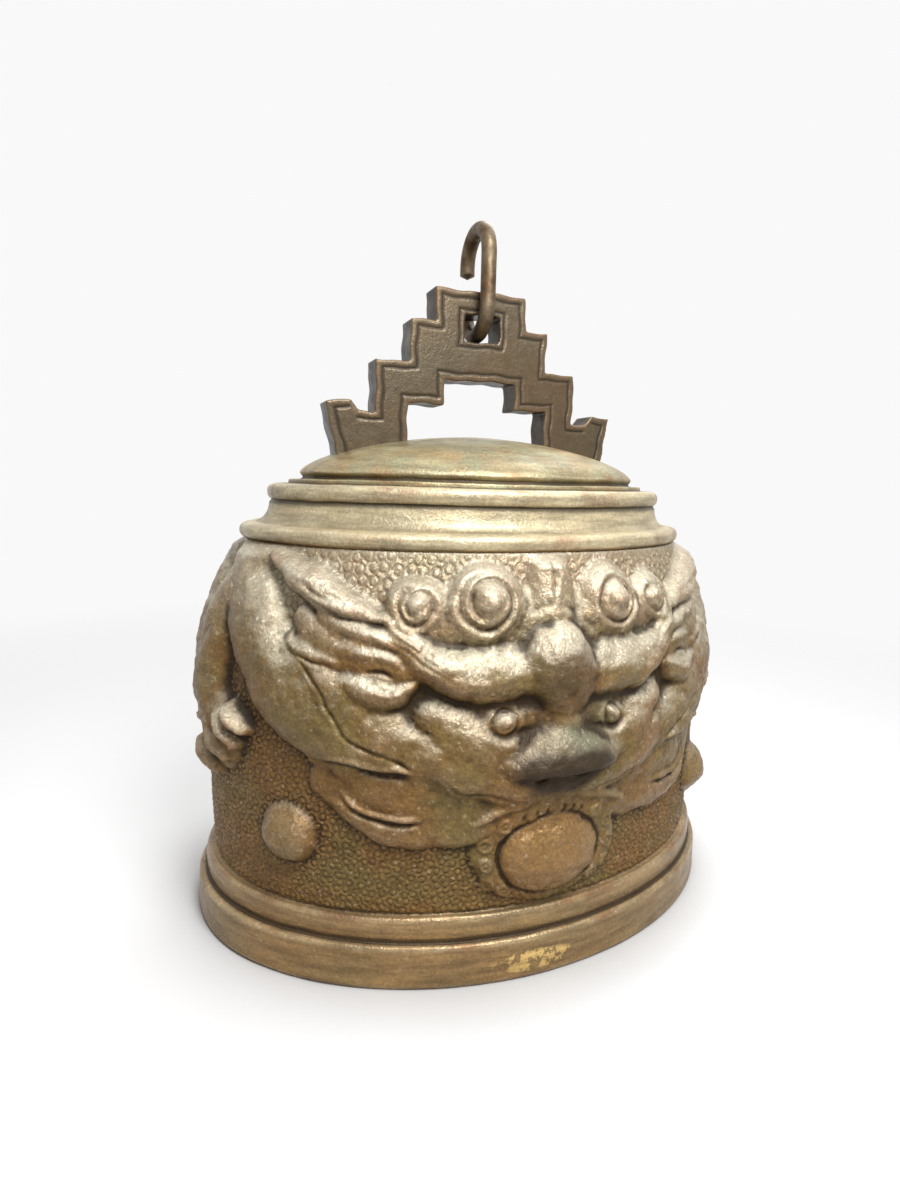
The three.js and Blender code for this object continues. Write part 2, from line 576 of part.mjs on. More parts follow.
// The pearl's polished crown, and the frilled collar that it sits in
function pearl(back) {
  const crown = arc(0, 0, 1, PEARL_RISE, 0, 90, 4);
  crown[crown.length - 1].x = 0;
  const profile = [new THREE.Vector2(0, -RELIEF_ROOT), new THREE.Vector2(1, -RELIEF_ROOT), ...crown];
  const geometry = turned(profile, ORNAMENT_SEGMENTS).scale(PEARL_HALF_WIDTH, PEARL_HALF_HEIGHT, 1);
  return solid(onWall(geometry, ...onSheet(PEARL_PLACE), back)).subtract(envelope);
}

function frill(back) {
  const inner = PEARL_HALF_WIDTH + CLEARANCE;
  const middle = (inner + FRILL_HALF_WIDTH) / 2;
  const bead = arc(middle, 0, FRILL_HALF_WIDTH - middle, FRILL_RISE, 0, 180, 3);
  const profile = [
    new THREE.Vector2(inner, -RELIEF_ROOT),
    new THREE.Vector2(FRILL_HALF_WIDTH, -RELIEF_ROOT),
    ...bead,
    new THREE.Vector2(inner, -RELIEF_ROOT),
  ];
  const flatten = FRILL_HALF_HEIGHT / FRILL_HALF_WIDTH;
  const geometry = turned(profile, ORNAMENT_SEGMENTS).scale(1, flatten, 1);
  const room = roomOnWall(PEARL_HALF_WIDTH, PEARL_HALF_HEIGHT, onSheet(PEARL_PLACE), back);
  return solid(onWall(geometry, ...onSheet(PEARL_PLACE), back)).subtract(envelope).subtract(room);
}

function boss(side, back) {
  const [along, z] = onSheet(BOSS_PLACE);
  const crown = arc(0, 0, BOSS_RADIUS, BOSS_RISE, 0, 90, 3);
  crown[crown.length - 1].x = 0;
  const profile = [new THREE.Vector2(0, -RELIEF_ROOT), new THREE.Vector2(BOSS_RADIUS, -RELIEF_ROOT), ...crown];
  return solid(onWall(turned(profile, BOSS_SEGMENTS), side * along, z, back)).subtract(envelope);
}

const bell = new THREE.Group();
bell.add(piece('bell_body', bellBody(), bellMaterial));
bell.add(piece('stepped_hanger', hanger(), hangerMaterial));
for (const [face, back] of [['front', false], ['back', true]]) {
  bell.add(piece(`dragon_${face}`, dragon(back), reliefMaterial));
  bell.add(piece(`pearl_${face}`, pearl(back), pearlMaterial));
  bell.add(piece(`pearl_frill_${face}`, frill(back), reliefMaterial));
  bell.add(piece(`boss_${face}_left`, boss(-1, back), reliefMaterial));
  bell.add(piece(`boss_${face}_right`, boss(1, back), reliefMaterial));
}

const hangingHook = piece('hanging_hook', solid(hook()), ironMaterial);
hangingHook.position.z = HOOK_PIVOT;
bell.add(hangingHook);
bell.add(piece('clapper_staple', solid(staple()), ironMaterial));

const clapper = new THREE.Group();
clapper.position.z = STAPLE_BAR;
clapper.add(piece('clapper_rod', clapperRod(), ironMaterial));
const ball = piece('clapper_ball', clapperBall(), ironMaterial);
ball.position.z = -CLAPPER_LENGTH;
clapper.add(ball);
bell.add(clapper);

export default bell;
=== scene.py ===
"""Looks of the bronze temple bell: sculpted relief, worn hanger, hook, clapper and a pale studio."""
import json
import math

import bmesh
import bpy
import numpy as np
from mathutils import Matrix, Vector

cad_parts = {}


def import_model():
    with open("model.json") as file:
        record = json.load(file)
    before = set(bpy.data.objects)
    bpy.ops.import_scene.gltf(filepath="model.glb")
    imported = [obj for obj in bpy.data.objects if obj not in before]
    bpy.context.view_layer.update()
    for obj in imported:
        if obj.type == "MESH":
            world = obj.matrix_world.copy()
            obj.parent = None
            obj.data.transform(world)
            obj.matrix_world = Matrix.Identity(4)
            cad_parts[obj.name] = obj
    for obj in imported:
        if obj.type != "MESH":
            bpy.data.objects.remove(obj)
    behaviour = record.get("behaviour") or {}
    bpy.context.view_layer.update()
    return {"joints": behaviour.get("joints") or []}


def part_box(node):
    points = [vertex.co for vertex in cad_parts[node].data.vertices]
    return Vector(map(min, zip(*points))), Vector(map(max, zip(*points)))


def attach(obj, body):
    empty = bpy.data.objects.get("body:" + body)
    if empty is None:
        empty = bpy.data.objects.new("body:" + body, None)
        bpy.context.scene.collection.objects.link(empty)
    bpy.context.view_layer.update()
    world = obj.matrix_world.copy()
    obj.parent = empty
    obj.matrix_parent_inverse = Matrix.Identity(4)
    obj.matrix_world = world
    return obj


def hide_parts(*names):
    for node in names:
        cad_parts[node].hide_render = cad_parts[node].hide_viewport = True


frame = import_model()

MM = 0.001

# Sizes that the frame gives, in millimetres
BODY_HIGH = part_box("bell_body")[1] / MM
HANGER_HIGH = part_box("stepped_hanger")[1] / MM
HOOK_LOW, HOOK_HIGH = (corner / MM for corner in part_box("hanging_hook"))
BALL_LOW, BALL_HIGH = (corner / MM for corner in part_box("clapper_ball"))
ROD_LOW, ROD_HIGH = (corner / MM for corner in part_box("clapper_rod"))
STAPLE_LOW, STAPLE_HIGH = (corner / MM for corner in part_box("clapper_staple"))
PIVOTS = {joint["name"]: Vector(joint["pos_m"]) / MM for joint in frame["joints"]}

# Bell body, in millimetres: radii are half widths along X
RIM_RADIUS = BODY_HIGH.x
OVAL = BODY_HIGH.y / BODY_HIGH.x
DOME_TOP = BODY_HIGH.z
LIP_HEIGHT = 12.4
LIP_THICKNESS = 6.5
LIP_DRAFT = 0.4
LIP_ROUND = 1.5
RIM_ROUND = 1
BAND_RADIUS = RIM_RADIUS - 3
BAND_TOP = 19.6
BAND_ROUND = 1.6
BAND_CREASE = 0.5
BAND_BELLY = 0.25
BAND_BELLY_HEIGHT = 4.6
WALL_FOOT = 20.6
WALL_TOP = 116.6
WALL_RADIUS = RIM_RADIUS - 5.4
WALL_SWELL = 1.6
WALL_LOW_PULL = 0.37
WALL_HIGH_PULL = 0.735
WALL_THICKNESS = 5.2
SPRINGING_SHARE = 0.78
SHOULDER_RADIUS = 72.8
SHOULDER_SWELL = 11.8
LOWER_RING_RADIUS = 74.3
LOWER_RING_TOP = 123.2
LOWER_RING_DEPTH = 4
COVE_SIZE = 4.8
UPPER_RING_FOOT = LOWER_RING_TOP + COVE_SIZE
UPPER_RING_HEIGHT = 5
UPPER_RING_DEPTH = 3.1
UPPER_RING_SET = 0.6
COLLAR_FOOT = UPPER_RING_FOOT + UPPER_RING_HEIGHT
RING_HEIGHT = 4.8
RING_POWER = 2.5
COLLAR_RADIUS = 59.7
COLLAR_HEIGHT = 1.4
COLLAR_ROUND = 0.5
DOME_RADIUS = 56.3
DOME_STEP = 3.2
DOME_POWER = 1.65
CROWN_THICKNESS = 6.4
PAD_RADIUS = 16
PAD_DEPTH = 6
PAD_ROUND = 1.5
SHELL_SINK = 1.4
SHELL_SEGMENTS = 400
ROD_CROWN = 0.25

# Relief sheet, wrapped on the wall; the relief is drawn in the sheet's own units
SHEET_COLUMNS = 1216
SHEET_ROWS = 288
SHEET_LOW = WALL_FOOT - 0.4
SHEET_HIGH = WALL_TOP + 0.4
SHEET_STRETCH = (1.02, 1.052)
SHEET_LIFT = 0.3
GIRTH_STEPS = 28800
PEARL_PLACE = (0, 34.5)
PEARL_HALF = (15, 11.2)
BOSS_PLACE = (70.5, 38.8)
BOSS_RADIUS = 8.4
PEARL_POLISHED = 0.92
BOSS_POLISHED = 0.7
BACK_STEP = 8
BACK_DEPTH = 2.2
STRAY = 0.9
TOP_FADE = 4
EDGE_SINK = 0.8
GROOVE_FADE = 0.15
GROOVE_REACH = 5
BURR_PLACE = 2.2
LEAST_HALF = 0.05
FORM_SOFTNESS = 1.1
CUT_SOFTNESS = 0.55
CURL_STEPS = 13
CURL_SQUASH = 0.85
MAP_EDGE = 0.01
MAP_FRONT = (0.12, 0.99)
MAP_BACK = (0.01, 0.10)

# Punched ground: pitch, radius and line width of the clear rings above and the worn ones below
CLEAR_RINGS = (3.7, 1.4, 0.34)
WORN_RINGS = (2.6, 0.95, 0.3)
RING_CUT = 0.5
CLEAR_FROM = (78, 90)
ROW_PITCH = 0.87
PUNCH_JITTER = 0.22

# Camera, from the fit to the photograph
CAMERA_PLACE = Vector((-87.64, -212.21, 135.3))
CAMERA_AZIMUTH = math.radians(-22.44)
CAMERA_PITCH = math.radians(10.08)
CAMERA_ROLL = math.radians(1.6)
CAMERA_LENS = 20.22
CAMERA_SENSOR = 36
CAMERA_NEAR = 0.01
CAMERA_SHIFT = -0.0154


# Noise and curves

def blurred(field, reach, wrap):
    """A field smoothed over so many cells; wrap says that its first axis closes on itself."""
    span = max(1, int(math.ceil(3 * reach)))
    offsets = np.arange(-span, span + 1)
    weights = np.exp(-0.5 * (offsets / reach) ** 2)
    weights /= weights.sum()
    padded = np.pad(field, ((span, span), (0, 0)), mode="wrap" if wrap else "edge")
    rows = sum(w * padded[i:i + field.shape[0]] for i, w in enumerate(weights))
    padded = np.pad(rows, ((0, 0), (span, span)), mode="edge")
    return sum(w * padded[:, i:i + field.shape[1]] for i, w in enumerate(weights))


def noise(shape, cells, seed):
    """Smooth noise from -1 to 1 on a grid; the first axis closes on itself."""
    rng = np.random.default_rng(seed)
    lattice = rng.uniform(-1, 1, (cells[0], cells[1] + 2))
    u = np.arange(shape[0]) * cells[0] / shape[0]
    v = np.arange(shape[1]) * cells[1] / shape[1]
    i, j = u.astype(int), v.astype(int)
    fu, fv = u - i, v - j
    fu, fv = (fu * fu * (3 - 2 * fu))[:, None], (fv * fv * (3 - 2 * fv))[None, :]
    near, far = lattice[i % cells[0]], lattice[(i + 1) % cells[0]]
    low = near[:, j] * (1 - fu) + far[:, j] * fu
    high = near[:, j + 1] * (1 - fu) + far[:, j + 1] * fu
    return low * (1 - fv) + high * fv


def unit(lines):
    return lines / np.linalg.norm(lines, axis=-1, keepdims=True)


def full_turn(steps):
    return np.linspace(0, 2 * math.pi, steps, endpoint=False)


def layered(shape, *layers):
    """Noise in layers, each with its rise, cells and seed."""
    return sum(rise * noise(shape, cells, seed) for rise, cells, seed in layers)


def smoothstep(low, high, value):
    share = np.clip((value - low) / (high - low), 0, 1)
    return share * share * (3 - 2 * share)


def arc(x, y, rx, ry, start, end, steps):
    turn = np.radians(np.linspace(start, end, steps + 1))
    return [(x + rx * math.cos(t), y + ry * math.sin(t)) for t in turn]


def corner(x, y, radius, start, end, steps):
    return arc(x, y, radius, radius, start, end, steps)


def fillet(x, y, rx, ry, start, end, steps):
    """An arc with a flatter face and tighter shoulders than an oval."""
    line = []
    for t in np.radians(np.linspace(start, end, steps + 1)):
        across = abs(math.cos(t)) ** (2 / RING_POWER)
        climb = math.copysign(abs(math.sin(t)) ** (2 / RING_POWER), math.sin(t))
        line.append((x + rx * across, y + ry * climb))
    return line


def bezier(p0, p1, p2, p3, steps):
    t = np.linspace(0, 1, steps + 1)[:, None]
    p0, p1, p2, p3 = (np.array(p, float) for p in (p0, p1, p2, p3))
    return (1 - t) ** 3 * p0 + 3 * t * (1 - t) ** 2 * p1 + 3 * t * t * (1 - t) * p2 + t ** 3 * p3


def spline(points, steps):
    """A smooth line through points with any number of columns."""
    p = np.array(points, float)
    ends = np.vstack([2 * p[0] - p[1], p, 2 * p[-1] - p[-2]])
    t = np.linspace(0, 1, steps, endpoint=False)[:, None]
    runs = []
    for a, b, c, d in zip(ends, ends[1:], ends[2:], ends[3:]):
        runs.append(0.5 * (2 * b + (c - a) * t + (2 * a - 5 * b + 4 * c - d) * t ** 2
                           + (3 * b - a - 3 * c + d) * t ** 3))
    return np.vstack(runs + [p[-1:]])


# Meshes

def placed(name, data):
    """An object with this data, in the scene."""
    piece = bpy.data.objects.new(name, data)
    bpy.context.scene.collection.objects.link(piece)
    return piece


def mesh_object(name, points, faces):
    """An object from points in millimetres and a list of face arrays with one corner count each."""
    mesh = bpy.data.meshes.new(name)
    counts = np.concatenate([np.full(len(f), f.shape[1]) for f in faces])
    corners = np.concatenate([f.ravel() for f in faces]).astype(np.int32)
    mesh.vertices.add(len(points))
    mesh.vertices.foreach_set("co", (np.asarray(points) * MM).astype(np.float32).ravel())
    mesh.loops.add(len(corners))
    mesh.loops.foreach_set("vertex_index", corners)
    mesh.polygons.add(len(counts))
    starts = np.concatenate([[0], np.cumsum(counts)[:-1]]).astype(np.int32)
    mesh.polygons.foreach_set("loop_start", starts)
    mesh.polygons.foreach_set("use_smooth", np.ones(len(counts), bool))
    mesh.update(calc_edges=True)
    mesh.validate()
    return placed(name, mesh)


def paint(piece, name, values):
    """A number on every point of a piece, for its material to read."""
    layer = piece.data.attributes.new(name, "FLOAT", "POINT")
    layer.data.foreach_set("value", np.asarray(values, np.float32).ravel())


def map_flat(piece, places):
    """A flat map of the piece from a place from 0 to 1 on every point."""
    layer = piece.data.uv_layers.new(name="OFBake")
    corners = np.zeros(len(piece.data.loops), np.int32)
    piece.data.loops.foreach_get("vertex_index", corners)
    layer.data.foreach_set("uv", np.asarray(places, np.float32)[corners].ravel())


def lathe(name, profile, segments, oval=1.0, wobble=(0, 0)):
    """A turned piece from a profile whose first and last points lie on the axis."""
    line = np.array(profile[1:-1], float)
    turn = full_turn(segments)
    radius = line[:, 0] + wobble[0]
    x = radius * np.sin(turn)[:, None]
    y = -oval * radius * np.cos(turn)[:, None]
    height = np.broadcast_to(line[:, 1] + wobble[1], x.shape)
    rings = np.stack([x, y, height], -1).reshape(-1, 3)
    poles = np.array([(0, 0, profile[0][1]), (0, 0, profile[-1][1])])
    count = len(line)
    here = np.arange(segments) * count
    after = np.roll(here, -1)
    a = (here[:, None] + np.arange(count - 1)).ravel()
    b = (after[:, None] + np.arange(count - 1)).ravel()
    quads = np.stack([a, b, b + 1, a + 1], -1)
    first, last = (np.full(segments, segments * count + k) for k in (0, 1))
    low = np.stack([after, here, first], -1)
    high = np.stack([here + count - 1, after + count - 1, last], -1)
    return mesh_object(name, np.vstack([rings, poles]), [quads, low, high])


def rod(name, points, diameter, sides=20):
    """A round rod bent along points in millimetres, with rounded ends."""
    line = spline(points, 6)
    ahead = unit(np.gradient(line, axis=0))
    side = np.zeros_like(line)
    start = np.array((1.0, 0, 0)) if abs(ahead[0][0]) < 0.9 else np.array((0, 1.0, 0))
    for k, direction in enumerate(ahead):
        start = unit(start - direction * (start @ direction))
        side[k] = start
    up = np.cross(ahead, side)
    turn = full_turn(sides)
    around = np.cos(turn)[None, :, None] * side[:, None] + np.sin(turn)[None, :, None] * up[:, None]
    rings = line[:, None] + around * (diameter / 2)
    heads = [line[0] - ahead[0] * diameter * ROD_CROWN, line[-1] + ahead[-1] * diameter * ROD_CROWN]
    points = np.vstack([rings.reshape(-1, 3), heads])
    i = np.arange(len(line) - 1)
    j = np.arange(sides)
    a = (i[:, None] * sides + j).ravel()
    b = (i[:, None] * sides + (j + 1) % sides).ravel()
    quads = np.stack([a, b, b + sides, a + sides], -1)
    last = (len(line) - 1) * sides
    foot = np.stack([(j + 1) % sides, j, np.full(sides, len(line) * sides)], -1)
    head = np.stack([last + j, last + (j + 1) % sides, np.full(sides, len(line) * sides + 1)], -1)
    return mesh_object(name, points, [quads, foot, head])


# The wall's line and girth

WALL_LINE = bezier(
    (WALL_RADIUS, WALL_FOOT),
    (WALL_RADIUS + WALL_SWELL, WALL_FOOT + WALL_LOW_PULL * (WALL_TOP - WALL_FOOT)),
    (SHOULDER_RADIUS + SHOULDER_SWELL, WALL_FOOT + WALL_HIGH_PULL * (WALL_TOP - WALL_FOOT)),
    (SHOULDER_RADIUS, WALL_TOP),
    60,
)


def wall_radius(z):
    return np.interp(z, WALL_LINE[:, 1], WALL_LINE[:, 0])


def girth_angles(count):
    """Angles of the oval at even steps of girth round the wall, from the mask's middle line."""
    turn = np.linspace(-math.pi, 3 * math.pi, GIRTH_STEPS + 1)
    speed = WALL_RADIUS * np.hypot(np.cos(turn), OVAL * np.sin(turn))
    length = np.concatenate([[0], np.cumsum((speed[1:] + speed[:-1]) / 2 * np.diff(turn))])
    length -= np.interp(0, turn, length)
    whole = np.interp(2 * math.pi, turn, length)
    along = np.arange(count) * whole / count
    return np.interp(along, length, turn), whole


SHEET_ANGLES, GIRTH = girth_angles(SHEET_COLUMNS)
QUARTER = SHEET_COLUMNS // 4
SHEET_STEP = GIRTH / SHEET_COLUMNS
SHEET_Z = np.linspace(SHEET_LOW, SHEET_HIGH, SHEET_ROWS + 1)
DRAWN_Z = (SHEET_Z + SHEET_LIFT) / SHEET_STRETCH[1]
FROM_MASK = (np.arange(SHEET_COLUMNS) + QUARTER) % (2 * QUARTER) - QUARTER


def drawn(columns):
    """Places across the relief's drawing of columns counted from a mask's middle line."""
    return columns * SHEET_STEP / SHEET_STRETCH[0]


# Sculpting on a quarter of the sheet, which is mirrored and repeated on the back

class Sheet:
    """Rises off the wall on a grid, s across from the mask's middle line and z up."""

    def __init__(self):
        self.s = drawn(np.arange(QUARTER + 1))
        self.z = DRAWN_Z
        self.rise = np.zeros((len(self.s), len(self.z)))

    def window(self, low_s, high_s, low_z, high_z):
        """The part of the sheet between these places, with its coordinates."""
        i = slice(*np.searchsorted(self.s, (low_s, high_s)))
        j = slice(*np.searchsorted(self.z, (low_z, high_z)))
        return (i, j), self.s[i][:, None], self.z[j][None, :]

    def nearest(self, line, reach):
        """Distance to a line, which side of it, and the line's other columns at the nearest place."""
        low, high = line[:, :2].min(0) - reach, line[:, :2].max(0) + reach
        place, s, z = self.window(low[0], high[0], low[1], high[1])
        best = np.full((s.shape[0], z.shape[1]), 1e9)
        side = np.zeros_like(best)
        rest = np.zeros(best.shape + (line.shape[1] - 2,))
        for a, b in zip(line, line[1:]):
            run = b[:2] - a[:2]
            size = max(run @ run, 1e-9)
            t = np.clip(((s - a[0]) * run[0] + (z - a[1]) * run[1]) / size, 0, 1)
            ds, dz = s - a[0] - t * run[0], z - a[1] - t * run[1]
            distance = np.hypot(ds, dz)
            closer = distance < best
            best[closer] = distance[closer]
            side[closer] = (run[0] * dz - run[1] * ds)[closer]
            rest[closer] = (a[2:] + t[..., None] * (b[2:] - a[2:]))[closer]
        return place, best, side, rest

    def join(self, place, height, blend):
        """The higher of what is there and a new form, eased where they meet."""
        old = self.rise[place]
        ease = np.maximum(np.minimum(blend, np.minimum(old, height)), 1e-6)
        gap = np.maximum(ease - np.abs(old - height), 0)
        self.rise[place] = np.where(height > 0, np.maximum(old, height) + gap ** 2 / (4 * ease), old)

    def stroke(self, rows, power=0.55, blend=1.0):
        """A rounded form along rows of place, half width or those to the left and right, and rise."""
        line = spline([(*row[:3], *row[-2:]) for row in rows], 6)
        line[:, 2:] = np.maximum(line[:, 2:], LEAST_HALF)
        reach = line[:, 2:4].max()
        place, distance, side, rest = self.nearest(line, reach)
        half = np.where(side > 0, rest[..., 0], rest[..., 1])
        fill = np.clip(1 - (distance / half) ** 2, 0, 1)
        self.join(place, rest[..., 2] * fill ** power, blend)

    def oval(self, s, z, half_s, half_z, rise, power=0.55, blend=1.0, add=False):
        """A rounded oval, joined with what is there or added to it."""
        place, across, up = self.window(s - half_s, s + half_s, z - half_z, z + half_z)
        fill = np.clip(1 - ((across - s) / half_s) ** 2 - ((up - z) / half_z) ** 2, 0, 1)
        if add:
            self.rise[place] += rise * fill ** power
        else:
            self.join(place, rise * fill ** power, blend)

    def ring(self, s, z, radius, tube, rise):
        """A ring on what is there, cut in where its rise is below zero."""
        reach = radius + tube
        place, across, up = self.window(s - reach, s + reach, z - reach, z + reach)
        off = np.abs(np.hypot(across - s, up - z) - radius) / tube
        self.rise[place] += rise * np.sqrt(np.clip(1 - off ** 2, 0, 1))

    def groove(self, points, width, depth, lip=0.25):
        """A cut line with a slight burr on both sides, fading at its ends."""
        fade = [GROOVE_FADE] + [1.0] * (len(points) - 2) + [GROOVE_FADE]
        line = spline([(*p, f) for p, f in zip(points, fade)], 8)
        place, distance, _, rest = self.nearest(line, GROOVE_REACH * width)
        cut = np.exp(-(distance / width) ** 2)
        burr = lip * np.exp(-((distance - BURR_PLACE * width) / width) ** 2)
        self.rise[place] -= depth * np.clip(rest[..., 0], 0, 1) * (cut - burr)

    def soften(self, reach):
        wide = np.vstack([self.rise[:0:-1], self.rise, self.rise[-2::-1]])
        count = len(self.s)
        self.rise = blurred(wide, reach, False)[count - 1:2 * count - 1]


def curl(s, z, inner, outer):
    """Points of a spiral that opens from an inner to an outer radius in a turn and a half."""
    turn = np.linspace(0.5 * math.pi, 3.5 * math.pi, CURL_STEPS)
    reach = np.linspace(inner, outer, CURL_STEPS)
    return [(s - r * math.cos(a), z - CURL_SQUASH * r * math.sin(a)) for a, r in zip(turn, reach)]


# Forms of the relief, drawn for the right half of the mask

def forehead(sheet):
    sheet.stroke([(0, 113, 6.5, 3), (0, 105, 7, 4), (0, 98, 7, 5)], 0.7, 2)
    sheet.stroke([(0, 90, 12, 3.4), (22, 93, 12, 10, 3.4), (40, 95, 8, 2.6)], 0.9, 2)
    sheet.oval(19.6, 98.6, 11, 9.8, 6.2, 0.45, 1.5)
    sheet.oval(19.8, 100.2, 4.8, 3.8, 8, 0.55, 0.8)
    sheet.oval(38.5, 98.4, 8.4, 7, 5, 0.55, 1.5)
    sheet.oval(37.8, 99.2, 3.2, 2.6, 6, 0.6, 0.6)


def brow_and_bulb(sheet):
    sheet.stroke([(0, 80, 9, 4.5, 7), (8, 80.8, 9.5, 5.2, 7.6), (16, 81.5, 9.6, 6, 8),
                  (24, 82, 9.2, 6.4, 8.2), (29, 83.2, 8, 5.8, 8), (35, 86.5, 5.6, 7),
                  (41, 91.5, 3.4, 4, 5.6), (47, 96.5, 1.4, 1.5, 3.6)], 0.55, 1.5)
    sheet.stroke([(0, 95.6, 4, 5), (0, 92.6, 8.2, 8.6), (0, 87, 11, 10.8), (0, 81, 11.2, 10.9),
                  (0, 75.8, 8.4, 8.6), (0, 73.2, 5, 6)], 0.55, 1.1)


def eyes_and_nose(sheet):
    sheet.oval(15.2, 71.2, 7.4, 4.8, 6, 0.6, 0.3)
    sheet.stroke([(0, 77, 6.4, 5.6), (0, 74, 7.2, 6.4), (0, 70, 8.5, 7.6), (0, 66, 11, 9.6)], 0.6, 2.5)
    sheet.stroke([(0, 60.6, 11, 4.6, 11.8), (6, 60.4, 10, 4.4, 11.4), (12, 60.6, 7, 4, 9.4),
                  (17, 62, 4, 3.4, 6.4)], 0.55, 1.6)


def cheeks_and_mouth(sheet):
    sheet.oval(0, 70, 58, 33, 2.8, 0.7, 2)
    sheet.oval(0, 68, 42, 30, 4.2, 1.0, 3)
    sheet.stroke([(33, 73, 6, 5, 5), (25, 69.5, 6.5, 6, 6.2), (14, 64, 6, 6.2)], 0.8, 3)
    sheet.oval(22, 63, 17, 12, 6.5, 0.9, 3)
    sheet.stroke([(0, 55.5, 7, 5.8), (8, 55.5, 7, 5.8), (16, 56, 7, 5.6), (24, 57.5, 6, 5.2),
                  (30, 60.5, 4.5, 4.6)], 0.7, 3)
    sheet.oval(0, 46, 27, 9.5, 3.4, 0.6, 2)
    sheet.stroke([(22, 45, 1, 3.6), (15, 48.6, 1.6, 4.2), (8, 49.6, 1.1, 4)], 0.7, 1.5)


def mane_and_limb(sheet):
    sheet.stroke([(100, 113, 11, 7, 3.6), (93, 102, 12, 7.6, 4.6), (86, 93.5, 12, 8.4, 5.4),
                  (79, 85, 11.5, 9, 5.8), (71.5, 77, 11, 9, 5.8), (65, 70.5, 10, 8, 5.4),
                  (58, 65, 7.5, 6.4, 4.8), (48, 61.5, 3.4, 3.2, 4.2), (38, 59, 0.8, 3.4)], 0.75, 2)
    sheet.stroke([(66, 86, 8, 6.5, 4.8), (57, 76, 10, 9, 5.7), (46, 68, 9.5, 8, 5.5),
                  (35, 62.5, 7.5, 6.5, 5), (26, 58, 6, 5, 4.2)], 0.5, 4)
    sheet.stroke([(68, 95, 4, 3.4), (60, 90, 7, 4.4), (50, 86, 9, 4.9), (42, 84, 8, 5.1)], 0.5)
    sheet.stroke([(71, 89.3, 0.5, 4.4), (63, 86.8, 1.8, 5), (56, 84.3, 2, 5)], 0.55)
    sheet.stroke([(84, 109.5, 2, 2.5, 4), (76, 106, 3.6, 3.5, 5), (69, 103.4, 4.2, 5.8),
                  (61, 99.5, 3.9, 4, 5.8), (53, 97, 2.4, 3, 4.8), (46.5, 95.4, 1, 1.5, 3.4)], 0.5, 0.5)
    sheet.stroke([(64, 96.8, 0.8, 4), (57, 93.8, 2.7, 2.4, 5), (49, 92, 2.9, 2.7, 5.2),
                  (42, 90, 2.4, 5.2), (37, 87.5, 1.5, 5)], 0.5, 0.5)
    sheet.stroke([(57, 86.8, 1, 4.4), (50, 87.4, 2.5, 2.3, 5.6), (44, 86.8, 2.5, 2.3, 5.8),
                  (39.5, 84.8, 1.6, 5)], 0.5, 0.5)
    sheet.stroke([(57, 81, 2, 4.6), (52, 80, 4, 3.2, 6), (47, 78.6, 5.2, 3.8, 7),
                  (42, 78.8, 4.6, 3.4, 6.8), (38.5, 81, 2.4, 2, 5.6)], 0.5, 0.5)


def leaves(sheet):
    sheet.stroke([(60, 55, 4, 1.4), (50, 51, 6, 1.8), (40, 49, 8, 2.2), (28, 48, 9, 2.6)], 0.35)
    sheet.stroke([(64, 59, 0.6, 1.4), (58, 59.2, 1.9, 2, 2.2), (55, 58.6, 2.3, 2.6, 2.5),
                  (50, 57, 4, 3.8, 2.7), (44, 54.5, 6, 5, 2.9), (38, 54, 6.2, 5.5, 3),
                  (31, 53.5, 6.6, 6, 3), (24, 53, 5, 3)], 0.4)
    sheet.stroke([(60, 51, 0.6, 1.3), (56, 49.6, 1.9, 1.6, 2), (52, 47, 3, 2.4, 2.4),
                  (48, 44.4, 3.6, 3.2, 2.6), (44, 42.4, 3.8, 4, 2.7), (38, 42, 4.2, 4.4, 2.7),
                  (31, 42.6, 3.9, 4.4, 2.7), (25, 42.6, 4.3, 4.4, 2.7), (20, 43.5, 3.5, 2.6)], 0.4)


def arm_and_hand(sheet):
    sheet.stroke([(88, 112.5, 6, 3.6), (93, 108, 6.5, 4.2), (100, 98, 7.5, 5.2), (103.5, 88, 8.5, 6),
                  (105, 78, 9, 6.4), (104, 70, 9, 6), (100, 64, 8.5, 5.2)], 0.6)
    sheet.oval(97, 60.5, 11, 9.5, 4.2, 0.7)
    for root, knuckle, tip in (
        ((90.5, 69.4), (86.8, 66.6), (83.6, 63.6)),
        ((95, 66.6), (90.6, 62.8), (87, 59.2)),
        ((100, 62.2), (95.4, 58.6), (91.6, 55.4)),
        ((104.6, 57), (100.4, 53.8), (97, 50.8)),
    ):
        sheet.stroke([(*root, 1.8, 5.4), (*knuckle, 2.1, 6.6), (*tip, 1.6, 4.6)], 0.6, 0.2)


def pearl_and_bosses(sheet):
    sheet.oval(*PEARL_PLACE, 22, 14, 2.4, 0.3)
    sheet.oval(*PEARL_PLACE, *PEARL_HALF, 6.4, 0.5, 0.2)
    sheet.oval(*BOSS_PLACE, BOSS_RADIUS, BOSS_RADIUS, 5.4, 0.9)


